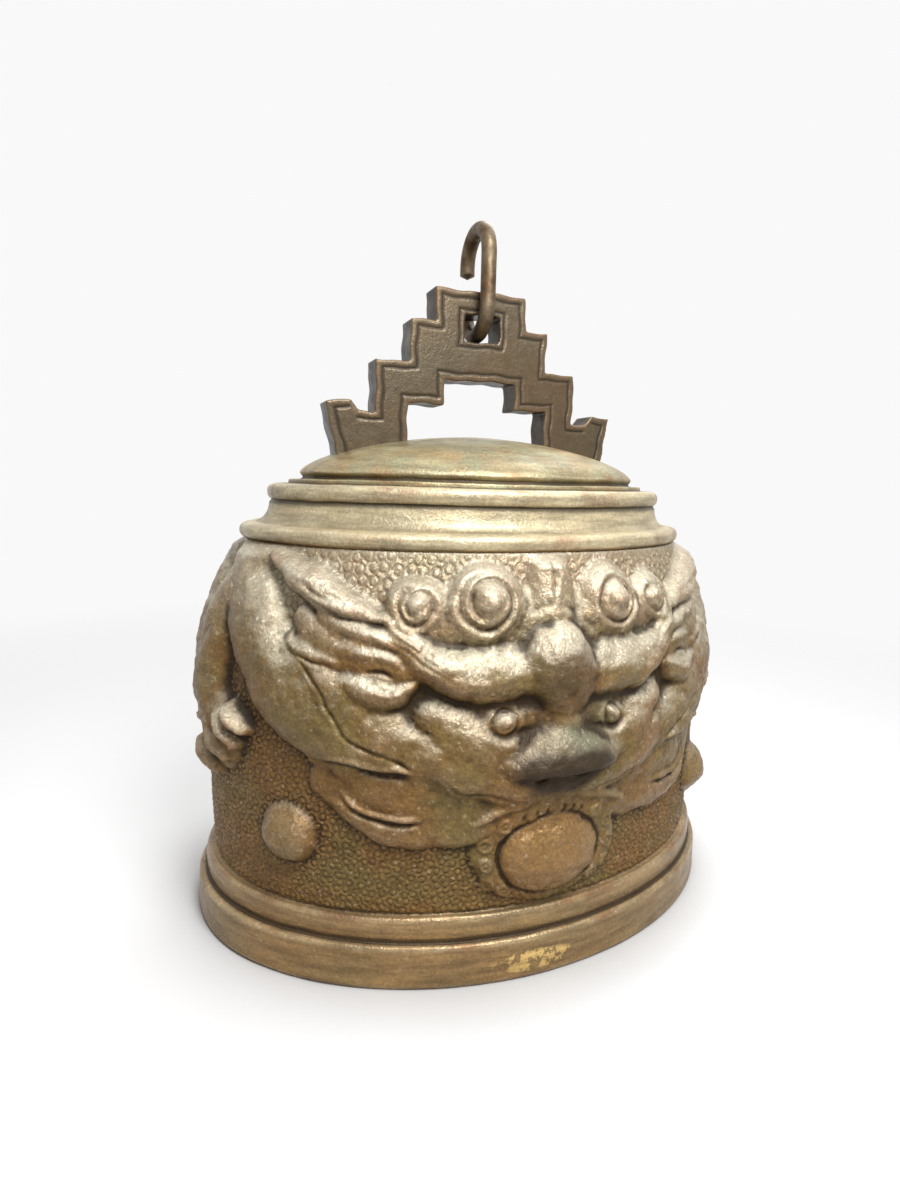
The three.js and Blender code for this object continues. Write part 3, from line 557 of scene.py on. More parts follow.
def carve(sheet):
    """Cut lines: body, slits of the leaves, feather strands, mouth, nostrils, eyes and the pearl's frill."""
    sheet.groove([(70, 87), (62, 80), (55, 70), (50, 66), (40, 61), (37, 59)], 0.5, 0.7)
    sheet.groove([(70, 87), (64, 85), (58, 83.5)], 0.5, 0.8)
    for slit in (
        [(60, 59.4), (55, 60.3), (51, 60.2), (48, 59), (45, 58), (42, 58), (38, 58.3)],
        [(55, 51.5), (52, 48.5), (49, 46.8), (45, 45.8), (42, 45.3), (38, 45.5), (35, 45.6)],
    ):
        sheet.groove(slit, 0.6, 0.9, 0.2)
        sheet.groove([(s, z + 1.5) for s, z in slit], 0.8, -1.0, 0)
    sheet.groove([(72, 104.6), (64, 101), (57, 98.6)], 0.6, 0.9)
    sheet.groove([(66, 103.6), (60, 100.6), (54, 98.6)], 0.5, 0.7)
    sheet.groove([(70, 101.6), (62, 97.8), (54, 95.4)], 0.5, 0.6)
    for shift in (0, 1.8, 3.4):
        sheet.groove([(46, 95.4 - shift), (38, 91.4 - shift), (29, 85.6 - shift)], 0.5, 0.6)
    sheet.groove([(50, 83.2), (45, 83.4), (41, 82.6)], 0.6, 0.9)
    sheet.groove([(48, 81), (44, 79.6), (41, 80.4)], 0.5, 0.6)
    sheet.groove([(29.5, 57.8), (27, 54.8), (22, 53.2), (15, 52.3), (11, 50.9)], 0.5, 0.6, 0.3)
    sheet.groove([(0, 113), (0, 106), (0, 101)], 0.9, 1.0)
    sheet.groove([(0, 99.4), (3.6, 99), (7, 97)], 0.9, 0.7)
    sheet.oval(5.6, 57.6, 3.2, 1.8, -1.6, 0.8, add=True)
    sheet.groove([(20.5, 71), (16, 67.6), (10, 69.5)], 0.6, 0.8, 0.3)
    sheet.ring(15.4, 71.2, 2.8, 0.7, -0.9)
    sheet.oval(15.4, 71.2, 1.1, 1.1, 0.5, add=True)
    sheet.groove(curl(19.8, 100, 4.2, 8.2), 0.8, 1.1, 0.3)
    sheet.groove(curl(37.8, 99, 2.6, 5.6), 0.7, 0.9, 0.3)
    sheet.groove([(PEARL_HALF[0] * math.cos(a), PEARL_PLACE[1] + PEARL_HALF[1] * math.sin(a))
                  for a in np.linspace(-0.5 * math.pi, 0.5 * math.pi, 15)], 0.6, 0.9, 0)
    for s, z in ((18, 27), (13, 25), (13.5, 44), (18.5, 33), (18, 39)):
        sheet.ring(s, z, 1.6, 0.6, 0.7)
        sheet.oval(s, z, 0.8, 0.8, 0.6, add=True)
    for s, low, high in ((1.2, 20.8, 23.4), (4.2, 21.0, 23.6), (7.2, 21.5, 24.0), (9.8, 22.6, 24.8),
                         (1.6, 45.4, 48.0), (4.6, 45.2, 47.6), (7.6, 44.6, 47.0)):
        sheet.groove([(s, low), (s + 0.9, (low + high) / 2), (s + 0.3, high)], 0.4, 0.9)


def punched(pitch, radius, width, seed):
    """Circles in jittered rows round the bell, one where the punch has cut and below one elsewhere."""
    around = int(round(GIRTH / pitch))
    rows = int(round((SHEET_HIGH - SHEET_LOW) / (pitch * ROW_PITCH)))
    rng = np.random.default_rng(seed)
    jitter = rng.uniform(-PUNCH_JITTER, PUNCH_JITTER, (around, rows + 4, 2))
    u = (np.arange(SHEET_COLUMNS) / SHEET_COLUMNS * around)[:, None]
    v = ((SHEET_Z - SHEET_LOW) / (SHEET_HIGH - SHEET_LOW) * rows)[None, :]
    nearest = np.full((SHEET_COLUMNS, SHEET_ROWS + 1), 1e9)
    row = np.floor(v).astype(int)
    for down in (-1, 0, 1):
        shift = 0.5 * ((row + down) % 2)
        column = np.floor(u - shift).astype(int)
        for beside in (-1, 0, 1):
            i, j = (column + beside) % around, np.broadcast_to(row + down + 1, column.shape)
            du = u - shift - (column + beside) - 0.5 - jitter[i, j, 0]
            dv = v - (row + down) - 0.5 - jitter[i, j, 1]
            nearest = np.minimum(nearest, np.hypot(du * pitch, dv * pitch * ROW_PITCH))
    return np.exp(-((nearest - radius) / width) ** 2)


def ring_matting(rise):
    """Punched ground: wide clear rings above, small worn ones below."""
    high = smoothstep(*CLEAR_FROM, SHEET_Z)[None, :]
    ground = 1 - smoothstep(0.1, 0.7, blurred(rise, 1.2, True))
    clear = RING_CUT * high * punched(*CLEAR_RINGS, 11)
    worn = RING_CUT * (1 - high) * punched(*WORN_RINGS, 12)
    return (-clear - worn) * ground


def strayed(rise):
    """The sheet with its outlines moved a little here and there, as modelled by hand."""
    wide, high = rise.shape
    shifts = []
    for step, seed in ((SHEET_STEP, 6), (SHEET_Z[1] - SHEET_Z[0], 7)):
        bends = layered(rise.shape, (1, (44, 9), seed), (0.4, (130, 27), seed + 20))
        shifts.append(STRAY / step * bends)
    across = np.arange(wide)[:, None] + shifts[0]
    up = np.clip(np.arange(high)[None, :] + shifts[1], 0, high - 1.001)
    i, j = np.floor(across).astype(int), np.floor(up).astype(int)
    u, v = across - i, up - j
    i, after = i % wide, (i + 1) % wide
    below = (1 - u) * rise[i, j] + u * rise[after, j]
    above = (1 - u) * rise[i, j + 1] + u * rise[after, j + 1]
    return (1 - v) * below + v * above


def sculpt():
    """The whole wall's rise on the full girth: form, lumps, punched ground and grain."""
    sheet = Sheet()
    for part in (cheeks_and_mouth, mane_and_limb, leaves, arm_and_hand,
                 forehead, brow_and_bulb, eyes_and_nose, pearl_and_bosses):
        part(sheet)
    sheet.soften(FORM_SOFTNESS)
    carve(sheet)
    sheet.soften(CUT_SOFTNESS)
    rise = strayed(sheet.rise[np.abs(FROM_MASK)])
    form = smoothstep(0.3, 2.5, rise)
    lumps = layered(rise.shape, (0.42, (70, 14), 3), (0.30, (170, 36), 4))
    grain = layered(rise.shape, (0.12, (520, 108), 5))
    rise = rise + form * lumps + ring_matting(rise) + grain
    rise = rise * smoothstep(SHEET_HIGH + 0.6, SHEET_HIGH - TOP_FADE, SHEET_Z)[None, :]
    rise[:, 0] = rise[:, -1] = -EDGE_SINK
    return rise


# The bell's pieces

def wall_places(rise):
    """Points of the wall at these rises off it, as columns by rows."""
    angle = SHEET_ANGLES[:, None]
    radius = wall_radius(SHEET_Z)[None, :]
    out = unit(np.stack([OVAL * np.sin(angle), -np.cos(angle)], -1))
    x = radius * np.sin(angle) + rise * out[..., 0]
    y = -OVAL * radius * np.cos(angle) + rise * out[..., 1]
    return np.stack([x, y, np.broadcast_to(SHEET_Z, rise.shape)], -1)


def wall_normals(places):
    ring = np.roll(places, -1, 0) - np.roll(places, 1, 0)
    climb = np.gradient(places, axis=1)
    return unit(np.cross(ring, climb))


def edge_faces(fine, coarse, flip):
    """Triangles between a fine edge of the outside and the coarse edge of the back behind it."""
    faces = []
    for k in range(len(coarse) - 1):
        start = k * BACK_STEP
        middle = start + BACK_STEP // 2
        for n in range(start, start + BACK_STEP):
            behind = coarse[k] if n < middle else coarse[k + 1]
            faces.append((fine[n], fine[n + 1], behind))
        faces.append((fine[middle], coarse[k + 1], coarse[k]))
    faces = np.array(faces)
    return faces[:, ::-1] if flip else faces


def flat_grid(shape, band):
    """Places on a flat map of a grid of points, in a band of the map's height."""
    across, up = np.meshgrid(np.linspace(MAP_EDGE, 1 - MAP_EDGE, shape[0]), np.linspace(*band, shape[1]),
                             indexing="ij")
    return np.stack([across, up], -1).reshape(-1, 2)


def grid_quads(index, flip):
    face = np.stack([index[:-1, :-1], index[1:, :-1], index[1:, 1:], index[:-1, 1:]], -1).reshape(-1, 4)
    return face[:, ::-1] if flip else face


def wall_piece(name, columns, places, normals, back, marks):
    """A quarter of the wall as a closed shell: the sculpted outside and a plain back in the wall."""
    outside = places[columns]
    behind = back[columns][::BACK_STEP, ::BACK_STEP]
    shape, rough_shape = outside.shape[:2], behind.shape[:2]
    points = np.vstack([outside.reshape(-1, 3), behind.reshape(-1, 3)])
    count, extra = np.prod(shape), np.prod(rough_shape)
    grid = np.arange(count).reshape(shape)
    rough = count + np.arange(extra).reshape(rough_shape)
    edges = np.vstack([
        edge_faces(grid[:, 0], rough[:, 0], True),
        edge_faces(grid[-1, :], rough[-1, :], True),
        edge_faces(grid[:, -1], rough[:, -1], False),
        edge_faces(grid[0, :], rough[0, :], False),
    ])
    piece = mesh_object(name, points, [grid_quads(grid, False), grid_quads(rough, True), edges])
    for mark, values in marks.items():
        paint(piece, mark, np.concatenate([values[columns].ravel(), np.zeros(extra)]))
    map_flat(piece, np.vstack([flat_grid(shape, MAP_FRONT), flat_grid(rough_shape, MAP_BACK)]))
    outward = normals[columns]
    inward = -outward[::BACK_STEP, ::BACK_STEP]
    both = np.vstack([outward.reshape(-1, 3), inward.reshape(-1, 3)])
    piece.data.normals_split_custom_set_from_vertices(both.tolist())
    return piece


def spot(s, z, place, half, power=2):
    """One at a place of the drawing, falling away to nothing past its half widths."""
    return np.exp(-((s - place[0]) / half[0]) ** power - ((z - place[1]) / half[1]) ** power)


def wall_marks(rise):
    """Wear on high points, painted shade in hollows, painted shadow and darker soot under the nose and brow,
    polish on the pearl, green patches and a painted highlight on upper sides.
    """
    s, z = drawn(FROM_MASK)[:, None], DRAWN_Z[None, :]
    aside = np.abs(s)
    off_pearl = ((s - PEARL_PLACE[0]) / PEARL_HALF[0]) ** 2 + ((z - PEARL_PLACE[1]) / PEARL_HALF[1]) ** 2
    off_boss = (aside - BOSS_PLACE[0]) ** 2 + (z - BOSS_PLACE[1]) ** 2
    pearl = off_pearl < PEARL_POLISHED
    boss = off_boss < BOSS_POLISHED * BOSS_RADIUS ** 2
    green = spot(s, z, (6, 68.5), (7, 4)) + 0.5 * spot(s, z, (0, 66), (13, 4))
    green += 0.4 * spot(aside, z, (24, 90), (8, 6))
    # Painted shadow under the nose and under the brow's lower edge, with a darker soot tone on the bulb and
    # the nose top
    shadow_and_soot = 1.3 * spot(s, z, (0, 57.6), (8 + 5 * smoothstep(52, 60, z), 6), 4)
    shadow_and_soot += 0.3 * spot(aside, z, (15, 75.4), (12, 1.6))
    shadow_and_soot += 0.6 * spot(s, z, (0, 83), (10, 9), 4) + 0.5 * spot(s, z, (0, 65), (15, 6), 4)
    # Painted shade: darker where the surface lies below its blurred surroundings, in hollows and between
    # forms, and less of it on the upper ground
    broad, wide, near = (blurred(rise, reach, True) for reach in (18, 7, 2.2))
    hollow = 0
    for smooth, depth, share in ((wide, 2.2, 1), (near, 0.5, 1), (broad, 3.5, 0.6)):
        hollow = hollow + share * np.clip((smooth - rise) / depth, 0, 1)
    ground = 1 - smoothstep(0.6, 2.6, rise)
    hollow *= 1 - 0.7 * ground * smoothstep(78, 92, z)
    # Painted highlight: lighter on upward-facing sides and more so higher up, and the upper wall lighter
    # still, as light from above falls
    facing = wall_normals(wall_places(blurred(rise, 1.6, True)))[..., 2]
    pale = smoothstep(0.08, 0.7, facing) * (0.3 + 0.65 * smoothstep(46, 86, z))
    pale = np.maximum(pale, 0.5 * smoothstep(84, 104, z))
    return {
        "wear": np.clip((rise - wide) / 2.2, 0, 1) * smoothstep(1.2, 3.0, rise),
        # painted shade in hollows, with the painted shadow and soot under the nose and brow
        "hollow_shade": np.clip(0.75 * hollow + shadow_and_soot, 0, 1.5),
        "polish": np.maximum(pearl, 0.2 * boss),
        "green": green,
        # painted highlight, kept mostly off the pearl and boss
        "pale": pale * (1 - 0.8 * pearl) * (1 - 0.65 * boss),
    }


def bell_wall():
    rise = sculpt()
    places = wall_places(rise)
    normals = wall_normals(places)
    back = wall_places(np.full_like(rise, -BACK_DEPTH))
    marks = wall_marks(rise)
    pieces = {}
    for k, name in enumerate(("front", "right", "back", "left")):
        start = k * QUARTER - QUARTER // 2
        columns = np.arange(start, start + QUARTER + 1) % SHEET_COLUMNS
        pieces[name] = wall_piece("bell_wall_" + name, columns, places, normals, back, marks)
    return pieces


def shell_profile():
    """Radius and height from the crown's pad down the inside, round the rim and up to the dome's top."""
    cove = LOWER_RING_RADIUS - LOWER_RING_DEPTH
    ring_x = cove - COVE_SIZE + UPPER_RING_SET
    dome_foot = COLLAR_FOOT + DOME_STEP
    vault = DOME_TOP - CROWN_THICKNESS
    springing = WALL_FOOT + SPRINGING_SHARE * (WALL_TOP - WALL_FOOT)
    rim_inside = RIM_RADIUS - LIP_THICKNESS
    inside = [(0, vault - PAD_DEPTH)]
    inside += [(r, vault - PAD_DEPTH) for r in (4, 8, 12)]
    inside += corner(PAD_RADIUS - PAD_ROUND, vault - PAD_DEPTH + PAD_ROUND, PAD_ROUND, -90, 0, 4)
    inside += corner(PAD_RADIUS + PAD_ROUND, vault - PAD_ROUND, PAD_ROUND, 180, 90, 4)
    inside += [tuple(p) for p in bezier(
        (PAD_RADIUS + 2 * PAD_ROUND, vault), (DOME_RADIUS - WALL_THICKNESS, vault),
        (SHOULDER_RADIUS - WALL_THICKNESS + 2, LOWER_RING_TOP),
        (float(wall_radius(springing)) - WALL_THICKNESS, springing), 24)]
    for z in np.linspace(springing - 4, WALL_FOOT + 2, 14):
        inside.append((float(wall_radius(z)) - WALL_THICKNESS, z))
    inside += [(rim_inside - 0.3, 10), (rim_inside, 5)]
    inside += corner(rim_inside + RIM_ROUND, RIM_ROUND, RIM_ROUND, 180, 270, 4)
    lip = corner(RIM_RADIUS - LIP_ROUND, LIP_ROUND, LIP_ROUND, -90, 0, 8)
    lip += [(RIM_RADIUS - LIP_DRAFT * z / LIP_HEIGHT, z) for z in np.linspace(2.2, LIP_HEIGHT - 2.2, 9)]
    lip += corner(RIM_RADIUS - LIP_DRAFT - LIP_ROUND, LIP_HEIGHT - LIP_ROUND, LIP_ROUND, 0, 90, 8)
    band = corner(BAND_RADIUS + BAND_CREASE, LIP_HEIGHT + BAND_CREASE, BAND_CREASE, 270, 180, 3)
    band += [(BAND_RADIUS + BAND_BELLY * math.sin(t), LIP_HEIGHT + 1 + BAND_BELLY_HEIGHT * t / math.pi)
             for t in np.linspace(0.2, math.pi - 0.1, 9)]
    band += corner(BAND_RADIUS - BAND_ROUND, BAND_TOP - BAND_ROUND, BAND_ROUND, 0, 90, 8)
    wall = [(float(wall_radius(z)) - SHELL_SINK, z) for z in np.linspace(WALL_FOOT - 1.2, WALL_TOP + 0.4, 26)]
    half = RING_HEIGHT / 2
    ring = fillet(cove, WALL_TOP + half, LOWER_RING_DEPTH, half, -78, 84, 20)
    hollow = arc(cove, UPPER_RING_FOOT, COVE_SIZE, UPPER_RING_FOOT - WALL_TOP - RING_HEIGHT, 264, 186, 14)
    half = UPPER_RING_HEIGHT / 2
    top = fillet(ring_x - UPPER_RING_DEPTH, UPPER_RING_FOOT + half, UPPER_RING_DEPTH, half, -60, 84, 16)
    collar_top = COLLAR_FOOT + COLLAR_HEIGHT
    step = [(COLLAR_RADIUS + 0.3, COLLAR_FOOT + 0.1), (COLLAR_RADIUS, COLLAR_FOOT + 0.4)]
    step += corner(COLLAR_RADIUS - COLLAR_ROUND, collar_top - COLLAR_ROUND, COLLAR_ROUND, 0, 90, 4)
    step += [(DOME_RADIUS + x, collar_top + z) for x, z in ((0.4, 0), (-0.7, 0.3), (-0.9, 0.9))]
    step.append((DOME_RADIUS - 0.4, dome_foot - 0.4))
    dome = []
    for turn in np.linspace(0.02, 0.985, 46) * math.pi / 2:
        run = math.cos(turn) ** (2 / DOME_POWER)
        climb = math.sin(turn) ** (2 / DOME_POWER)
        dome.append((DOME_RADIUS * run, dome_foot + (DOME_TOP - dome_foot) * climb))
    return inside + lip + band + wall + ring + hollow + top + step + dome + [(0, DOME_TOP)]


# Shares of the shell's marks; the HIGHLIGHT shares scale a painted highlight
RING_HIGHLIGHT = 0.8
DOME_HIGHLIGHT = 0.25
DOME_GREEN = 0.8
FOOT_HIGHLIGHT = 0.45
FOOT_WEAR = 0.35
FOOT_POLISH = 0.6
LIP_HIGHLIGHT = 0.2


def profile_bend(run, length):
    """How sharply a profile turns at each of its points, smoothed along it."""
    bend = np.gradient(np.unwrap(np.arctan2(run[:, 1], run[:, 0]))) / length
    for _ in range(3):
        bend = np.convolve(np.pad(bend, 1, mode="edge"), (0.25, 0.5, 0.25), mode="valid")
    return bend


def bell_shell():
    """The cast body: lip, band, rings, cove, dome and the hollow inside, a little out of true."""
    profile = shell_profile()
    line = np.array(profile[1:-1])
    radius, height = line.T
    shape = (SHELL_SEGMENTS, len(line))
    off_axis = smoothstep(2, 30, radius)[None, :]
    above_rim = smoothstep(0.3, 2.5, height)[None, :]
    sway = layered(shape, (0.28, (9, 5), 21), (0.12, (40, 16), 22), (0.05, (160, 70), 23))
    lift = layered(shape, (0.20, (11, 4), 24), (0.10, (60, 20), 25))
    wobble = (np.minimum(sway * off_axis, 0.12), lift * above_rim * off_axis)
    shell = lathe("bell_shell", profile, SHELL_SEGMENTS, OVAL, wobble)
    run = np.gradient(line, axis=0)
    length = np.maximum(np.hypot(run[:, 0], run[:, 1]), 1e-3)
    bend = profile_bend(run, length)
    outside = np.arange(len(line)) > np.argmin(height)
    foot = (height < WALL_FOOT) & outside
    rings = (height > WALL_TOP + 1) & (height < COLLAR_FOOT) & outside
    dome = height > COLLAR_FOOT
    worn = np.clip(bend / 0.6, 0, 1) * outside
    worn[foot] = np.maximum(worn[foot], FOOT_WEAR)
    # Painted highlight: the outside lighter where it leans to face upwards, all of the rings lighter, and
    # less of it on the dome, lip and foot
    painted_highlight = smoothstep(-0.1, 0.5, -run[:, 0] / length) * outside
    painted_highlight[rings] = RING_HIGHLIGHT + (1 - RING_HIGHLIGHT) * painted_highlight[rings]
    painted_highlight[dome] *= DOME_HIGHLIGHT
    painted_highlight[height < LIP_HEIGHT - LIP_ROUND] *= LIP_HIGHLIGHT
    painted_highlight[height < WALL_FOOT] *= FOOT_HIGHLIGHT
    for mark, values, ends in (
        ("pale", painted_highlight, (0, 0)),
        ("polish", FOOT_POLISH * foot, (0, 0)),
        ("green", DOME_GREEN * dome * outside, (0, DOME_GREEN)),
        ("wear", worn, (0, 0)),
        # painted shade in the profile's hollow bends, under the rings and in the cove
        ("hollow_shade", np.clip(-bend / 0.5, 0, 1), (0, 0)),
        ("inside", 1.0 * ~outside, (1, 0)),
    ):
        paint(shell, mark, np.concatenate([np.tile(values, SHELL_SEGMENTS), ends]))
    angle = np.degrees(full_turn(SHELL_SEGMENTS))[:, None]
    angle = (angle + 180) % 360 - 180
    patch = spot(angle, height[None, :], (-3, 5.5), (8, 3.2)) * outside
    paint(shell, "scrape", np.concatenate([patch.ravel(), (0, 0)]))
    return shell


# The hanger

HANGER_RISE = HANGER_HIGH.z - DOME_TOP
HANGER_HALF = HANGER_HIGH.y
TOP_HALF_WIDTH = 15.4
UPPER_STEP = (23.4, 34.2)
LOWER_STEP = (34.4, 21.6)
NOTCH_HEIGHT = 5.9
NOTCH_END = 39.4
HORN = ((42, 9), (49.4, 8.3))
FOOT_HALF_WIDTH = 46.2
FOOT_SINK = (4.4, 9.4)
WINDOW_STEP = (24, 9.2)
WINDOW_TOP = (12.3, 17.2)
HOLE_HALF_WIDTH = 6
HOLE_LOW = 29.1
HOLE_HIGH = 37.3
HANGER_VOXEL = 0.36
HANGER_EASE = 5
EDGE_WEAR = 0.6
EDGE_REACH = 0.9
LINE_INSET = 2.2
LINE_DEPTH = 0.45
LINE_WIDTH = 0.4
LINE_END = -8
HORN_INSET = 2.8
HOLE_MARGIN = (1.6, 1.4)


def hanger_outline():
    """Right half of the outline from the top's middle to the window's middle, heights above the dome."""
    return [
        (TOP_HALF_WIDTH, HANGER_RISE),
        (TOP_HALF_WIDTH, UPPER_STEP[1]),
        UPPER_STEP,
        (UPPER_STEP[0], LOWER_STEP[1]),
        LOWER_STEP,
        (LOWER_STEP[0], NOTCH_HEIGHT),
        (NOTCH_END, NOTCH_HEIGHT),
        *HORN,
        (FOOT_HALF_WIDTH, -FOOT_SINK[1]),
        (WINDOW_STEP[0], -FOOT_SINK[0]),
        WINDOW_STEP,
        (WINDOW_TOP[0], WINDOW_STEP[1]),
        WINDOW_TOP,
    ]


def prism(name, outline, half):
    """An upright plate from an outline in X and height above the dome."""
    mesh = bmesh.new()
    front = [mesh.verts.new((x * MM, -half * MM, (DOME_TOP + z) * MM)) for x, z in outline]
    face = mesh.faces.new(front)
    made = bmesh.ops.extrude_face_region(mesh, geom=[face])
    moved = [v for v in made["geom"] if isinstance(v, bmesh.types.BMVert)]
    bmesh.ops.translate(mesh, vec=(0, 2 * half * MM, 0), verts=moved)
    bmesh.ops.recalc_face_normals(mesh, faces=mesh.faces)
    data = bpy.data.meshes.new(name)
    mesh.to_mesh(data)
    mesh.free()
    return placed(name, data)


def settle(piece):
    """Applies the piece's modifiers."""
    graph = bpy.context.evaluated_depsgraph_get()
    done = bpy.data.meshes.new_from_object(piece.evaluated_get(graph))
    piece.modifiers.clear()
    piece.data = done


def line_distance(points, line):
    """Distance in the plate's face from each point to a chain of straight lines."""
    best = np.full(len(points), 1e9)
    for a, b in zip(line, line[1:]):
        a, b = np.array(a, float), np.array(b, float)
        run = b - a
        t = np.clip(((points - a) @ run) / (run @ run), 0, 1)
        best = np.minimum(best, np.linalg.norm(points - a - t[:, None] * run, axis=1))
    return best


def border_lines(outline):
    """The cut lines inside the plate's edges, for the right half; the left mirrors them."""
    inset = LINE_INSET
    outer = [(0, HANGER_RISE - inset)] + [(x - inset, z - inset) for x, z in outline[:6]]
    outer.append((NOTCH_END, NOTCH_HEIGHT - inset))
    horn = [(NOTCH_END + 3, HORN[0][1] - inset), (HORN[1][0] - HORN_INSET, HORN[1][1] - inset),
            (FOOT_HALF_WIDTH - HORN_INSET, LINE_END)]
    window = [(WINDOW_STEP[0] + inset, LINE_END)] + [(x + inset, z + inset) for x, z in outline[-3:]]
    window.append((0, WINDOW_TOP[1] + inset))
    low, high = HOLE_LOW - HOLE_MARGIN[0], HOLE_HIGH + HOLE_MARGIN[1]
    beside = HOLE_HALF_WIDTH + HOLE_MARGIN[0]
    return [outer, horn, window, [(0, low), (beside, low), (beside, high), (0, high)]]


def near_face(y, start, end):
    """One at the plate's faces, and none deeper than the first of two depths."""
    return smoothstep(HANGER_HALF - start, HANGER_HALF - end, np.abs(y))


def stepped_hanger():
    right = hanger_outline()
    plate = prism("hanger_plate", right + [(-x, z) for x, z in reversed(right)], HANGER_HALF)
    corners = [(-HOLE_HALF_WIDTH, HOLE_LOW), (HOLE_HALF_WIDTH, HOLE_LOW),
               (HOLE_HALF_WIDTH, HOLE_HIGH), (-HOLE_HALF_WIDTH, HOLE_HIGH)]
    cutter = prism("hole_cutter", corners, 2 * HANGER_HALF)
    cut = plate.modifiers.new("hole", "BOOLEAN")
    cut.object = cutter
    cut.solver = "EXACT"
    voxels = plate.modifiers.new("voxels", "REMESH")
    voxels.mode = "VOXEL"
    voxels.voxel_size = HANGER_VOXEL * MM
    ease = plate.modifiers.new("ease", "SMOOTH")
    ease.factor = 0.5
    ease.iterations = HANGER_EASE
    settle(plate)
    bpy.data.objects.remove(cutter)
    mesh = plate.data
    places = np.zeros(len(mesh.vertices) * 3)
    mesh.vertices.foreach_get("co", places)
    places = places.reshape(-1, 3) / MM
    x, y, z = places.T
    face = np.stack([np.abs(x), z - DOME_TOP], -1)
    distance = np.min([line_distance(face, line) for line in border_lines(right)], axis=0)
    cutting = LINE_DEPTH * np.exp(-(distance / LINE_WIDTH) ** 2) * near_face(y, 1.4, 0.5)
    y -= np.sign(y) * cutting
    wave = np.sin(z * 0.31 + 1.3) * 0.25 + np.sin(z * 0.83 + x * 0.4) * 0.14
    heave = np.sin(x * 0.27 + 0.4) * 0.22 + np.sin(x * 0.71 - z * 0.5) * 0.14
    x += wave
    z += heave * smoothstep(0, 6, z - DOME_TOP)
    mesh.vertices.foreach_set("co", (places * MM).astype(np.float32).ravel())
    mesh.polygons.foreach_set("use_smooth", np.ones(len(mesh.polygons), bool))
    mesh.update()
    edge = line_distance(face, [(0, HANGER_RISE), *right, (0, WINDOW_TOP[1])])
    # Painted shade in the cut lines
    paint(plate, "hollow_shade", np.clip(cutting / LINE_DEPTH, 0, 1))
    paint(plate, "wear", EDGE_WEAR * np.exp(-(edge / EDGE_REACH) ** 2) * near_face(y, 1.6, 0.6))
    # Painted shade on the plate's side faces and window sides, through the mark that darkens the bell's
    # inside
    paint(plate, "inside", 1 - near_face(y, 1.2, 0.4))
    return plate


# Hook and clapper

def hanging_hook():
    pivot = PIVOTS["hook_swing"]
    diameter = HOOK_HIGH.x - HOOK_LOW.x
    bend = HOOK_HIGH.y - diameter / 2
    top = HOOK_HIGH.z - pivot.z - diameter / 2 - bend
    tip, mouth = 5.5, 6
    flat = [(bend, tip), (bend, tip / 2)]
    flat += corner(0, 0, bend, 0, -180, 12)
    flat += [(-bend, top / 3), (-bend, top * 2 / 3)]
    flat += corner(0, top, bend, 180, 0, 12)
    flat += [(bend, tip + mouth)]
    return rod("hook_rod", [(0, y, pivot.z + z) for y, z in flat], diameter)


def clapper_staple():
    diameter = STAPLE_HIGH.y - STAPLE_LOW.y
    half = STAPLE_HIGH.x - diameter / 2
    bend = 6
    bend_top = STAPLE_LOW.z + diameter / 2 + bend
    middle = (STAPLE_HIGH.z + bend_top) / 2
    flat = [(-half, STAPLE_HIGH.z), (-half, middle)]
    flat += corner(bend - half, bend_top, bend, 180, 270, 6)
    flat += corner(half - bend, bend_top, bend, -90, 0, 6)
    flat += [(half, middle), (half, STAPLE_HIGH.z)]
    return rod("staple_rod", [(x, 0, z) for x, z in flat], diameter)


def clapper():
    """The clapper's shank with its forged eye, and the ball between a collar and a peened end."""
    eye_radius, eye_rod, shaft = 7.5, 5, 3
    collar, collar_height, bead, gap = 5, 2, 0.6, 0.3
    eye_middle = ROD_HIGH.z - eye_radius - eye_rod / 2
    eye_low = eye_middle - eye_radius
    eye = [(0, eye_radius * math.sin(t), eye_middle - eye_radius * math.cos(t))
           for t in np.linspace(0, 2 * math.pi, 25)]
    loop = rod("clapper_eye", eye, eye_rod)
    low = BALL_LOW.z - gap
    high = BALL_HIGH.z + gap
    shank = [(0, ROD_LOW.z)] + arc(0, low, collar, low - ROD_LOW.z, -80, 0, 6)
    shank += [(shaft, low), (shaft, high), (collar - bead, high)]
    shank += corner(collar - bead, high + bead, bead, -90, 90, 6)
    shank += [(shaft + bead, high + collar_height), (shaft, high + collar_height + 0.8)]
    for z in np.linspace(high + 8, eye_low - 3, 12):
        shank.append((shaft + 0.15 * math.sin(z), z))
    shank += [(shaft + 0.5, eye_low - 1), (0, eye_low + 1)]
    stem = lathe("clapper_shank", shank, 32)
    radius = BALL_HIGH.x
    ball_middle = (BALL_LOW.z + BALL_HIGH.z) / 2
    edge = math.degrees(math.asin((BALL_HIGH.z - ball_middle) / radius))
    round_line = corner(0, ball_middle, radius, -edge, edge, 28)
    ball = lathe("clapper_striker", [(0, BALL_LOW.z), *round_line, (0, BALL_HIGH.z)], 56)
    return loop, stem, ball


# Materials

def linear(red, green, blue):
    """A colour as seen on a screen, from 0 to 255, in linear light."""
    def one(value):
        share = value / 255
        return share / 12.92 if share <= 0.04045 else ((share + 0.055) / 1.055) ** 2.4
    return (one(red), one(green), one(blue), 1)


BRONZE_SHINE = 0.35
IRON_SHINE = 0.75
DARK = linear(46, 34, 22)
HIGHLIGHT_AND_WEAR_TONE = linear(199, 189, 167)
COPPER = linear(136, 84, 58)
RUBBED = linear(158, 118, 70)
VERDIGRIS = linear(150, 160, 132)
SCRAPED = linear(226, 190, 120)
GLINT_WHITE = linear(232, 222, 196)


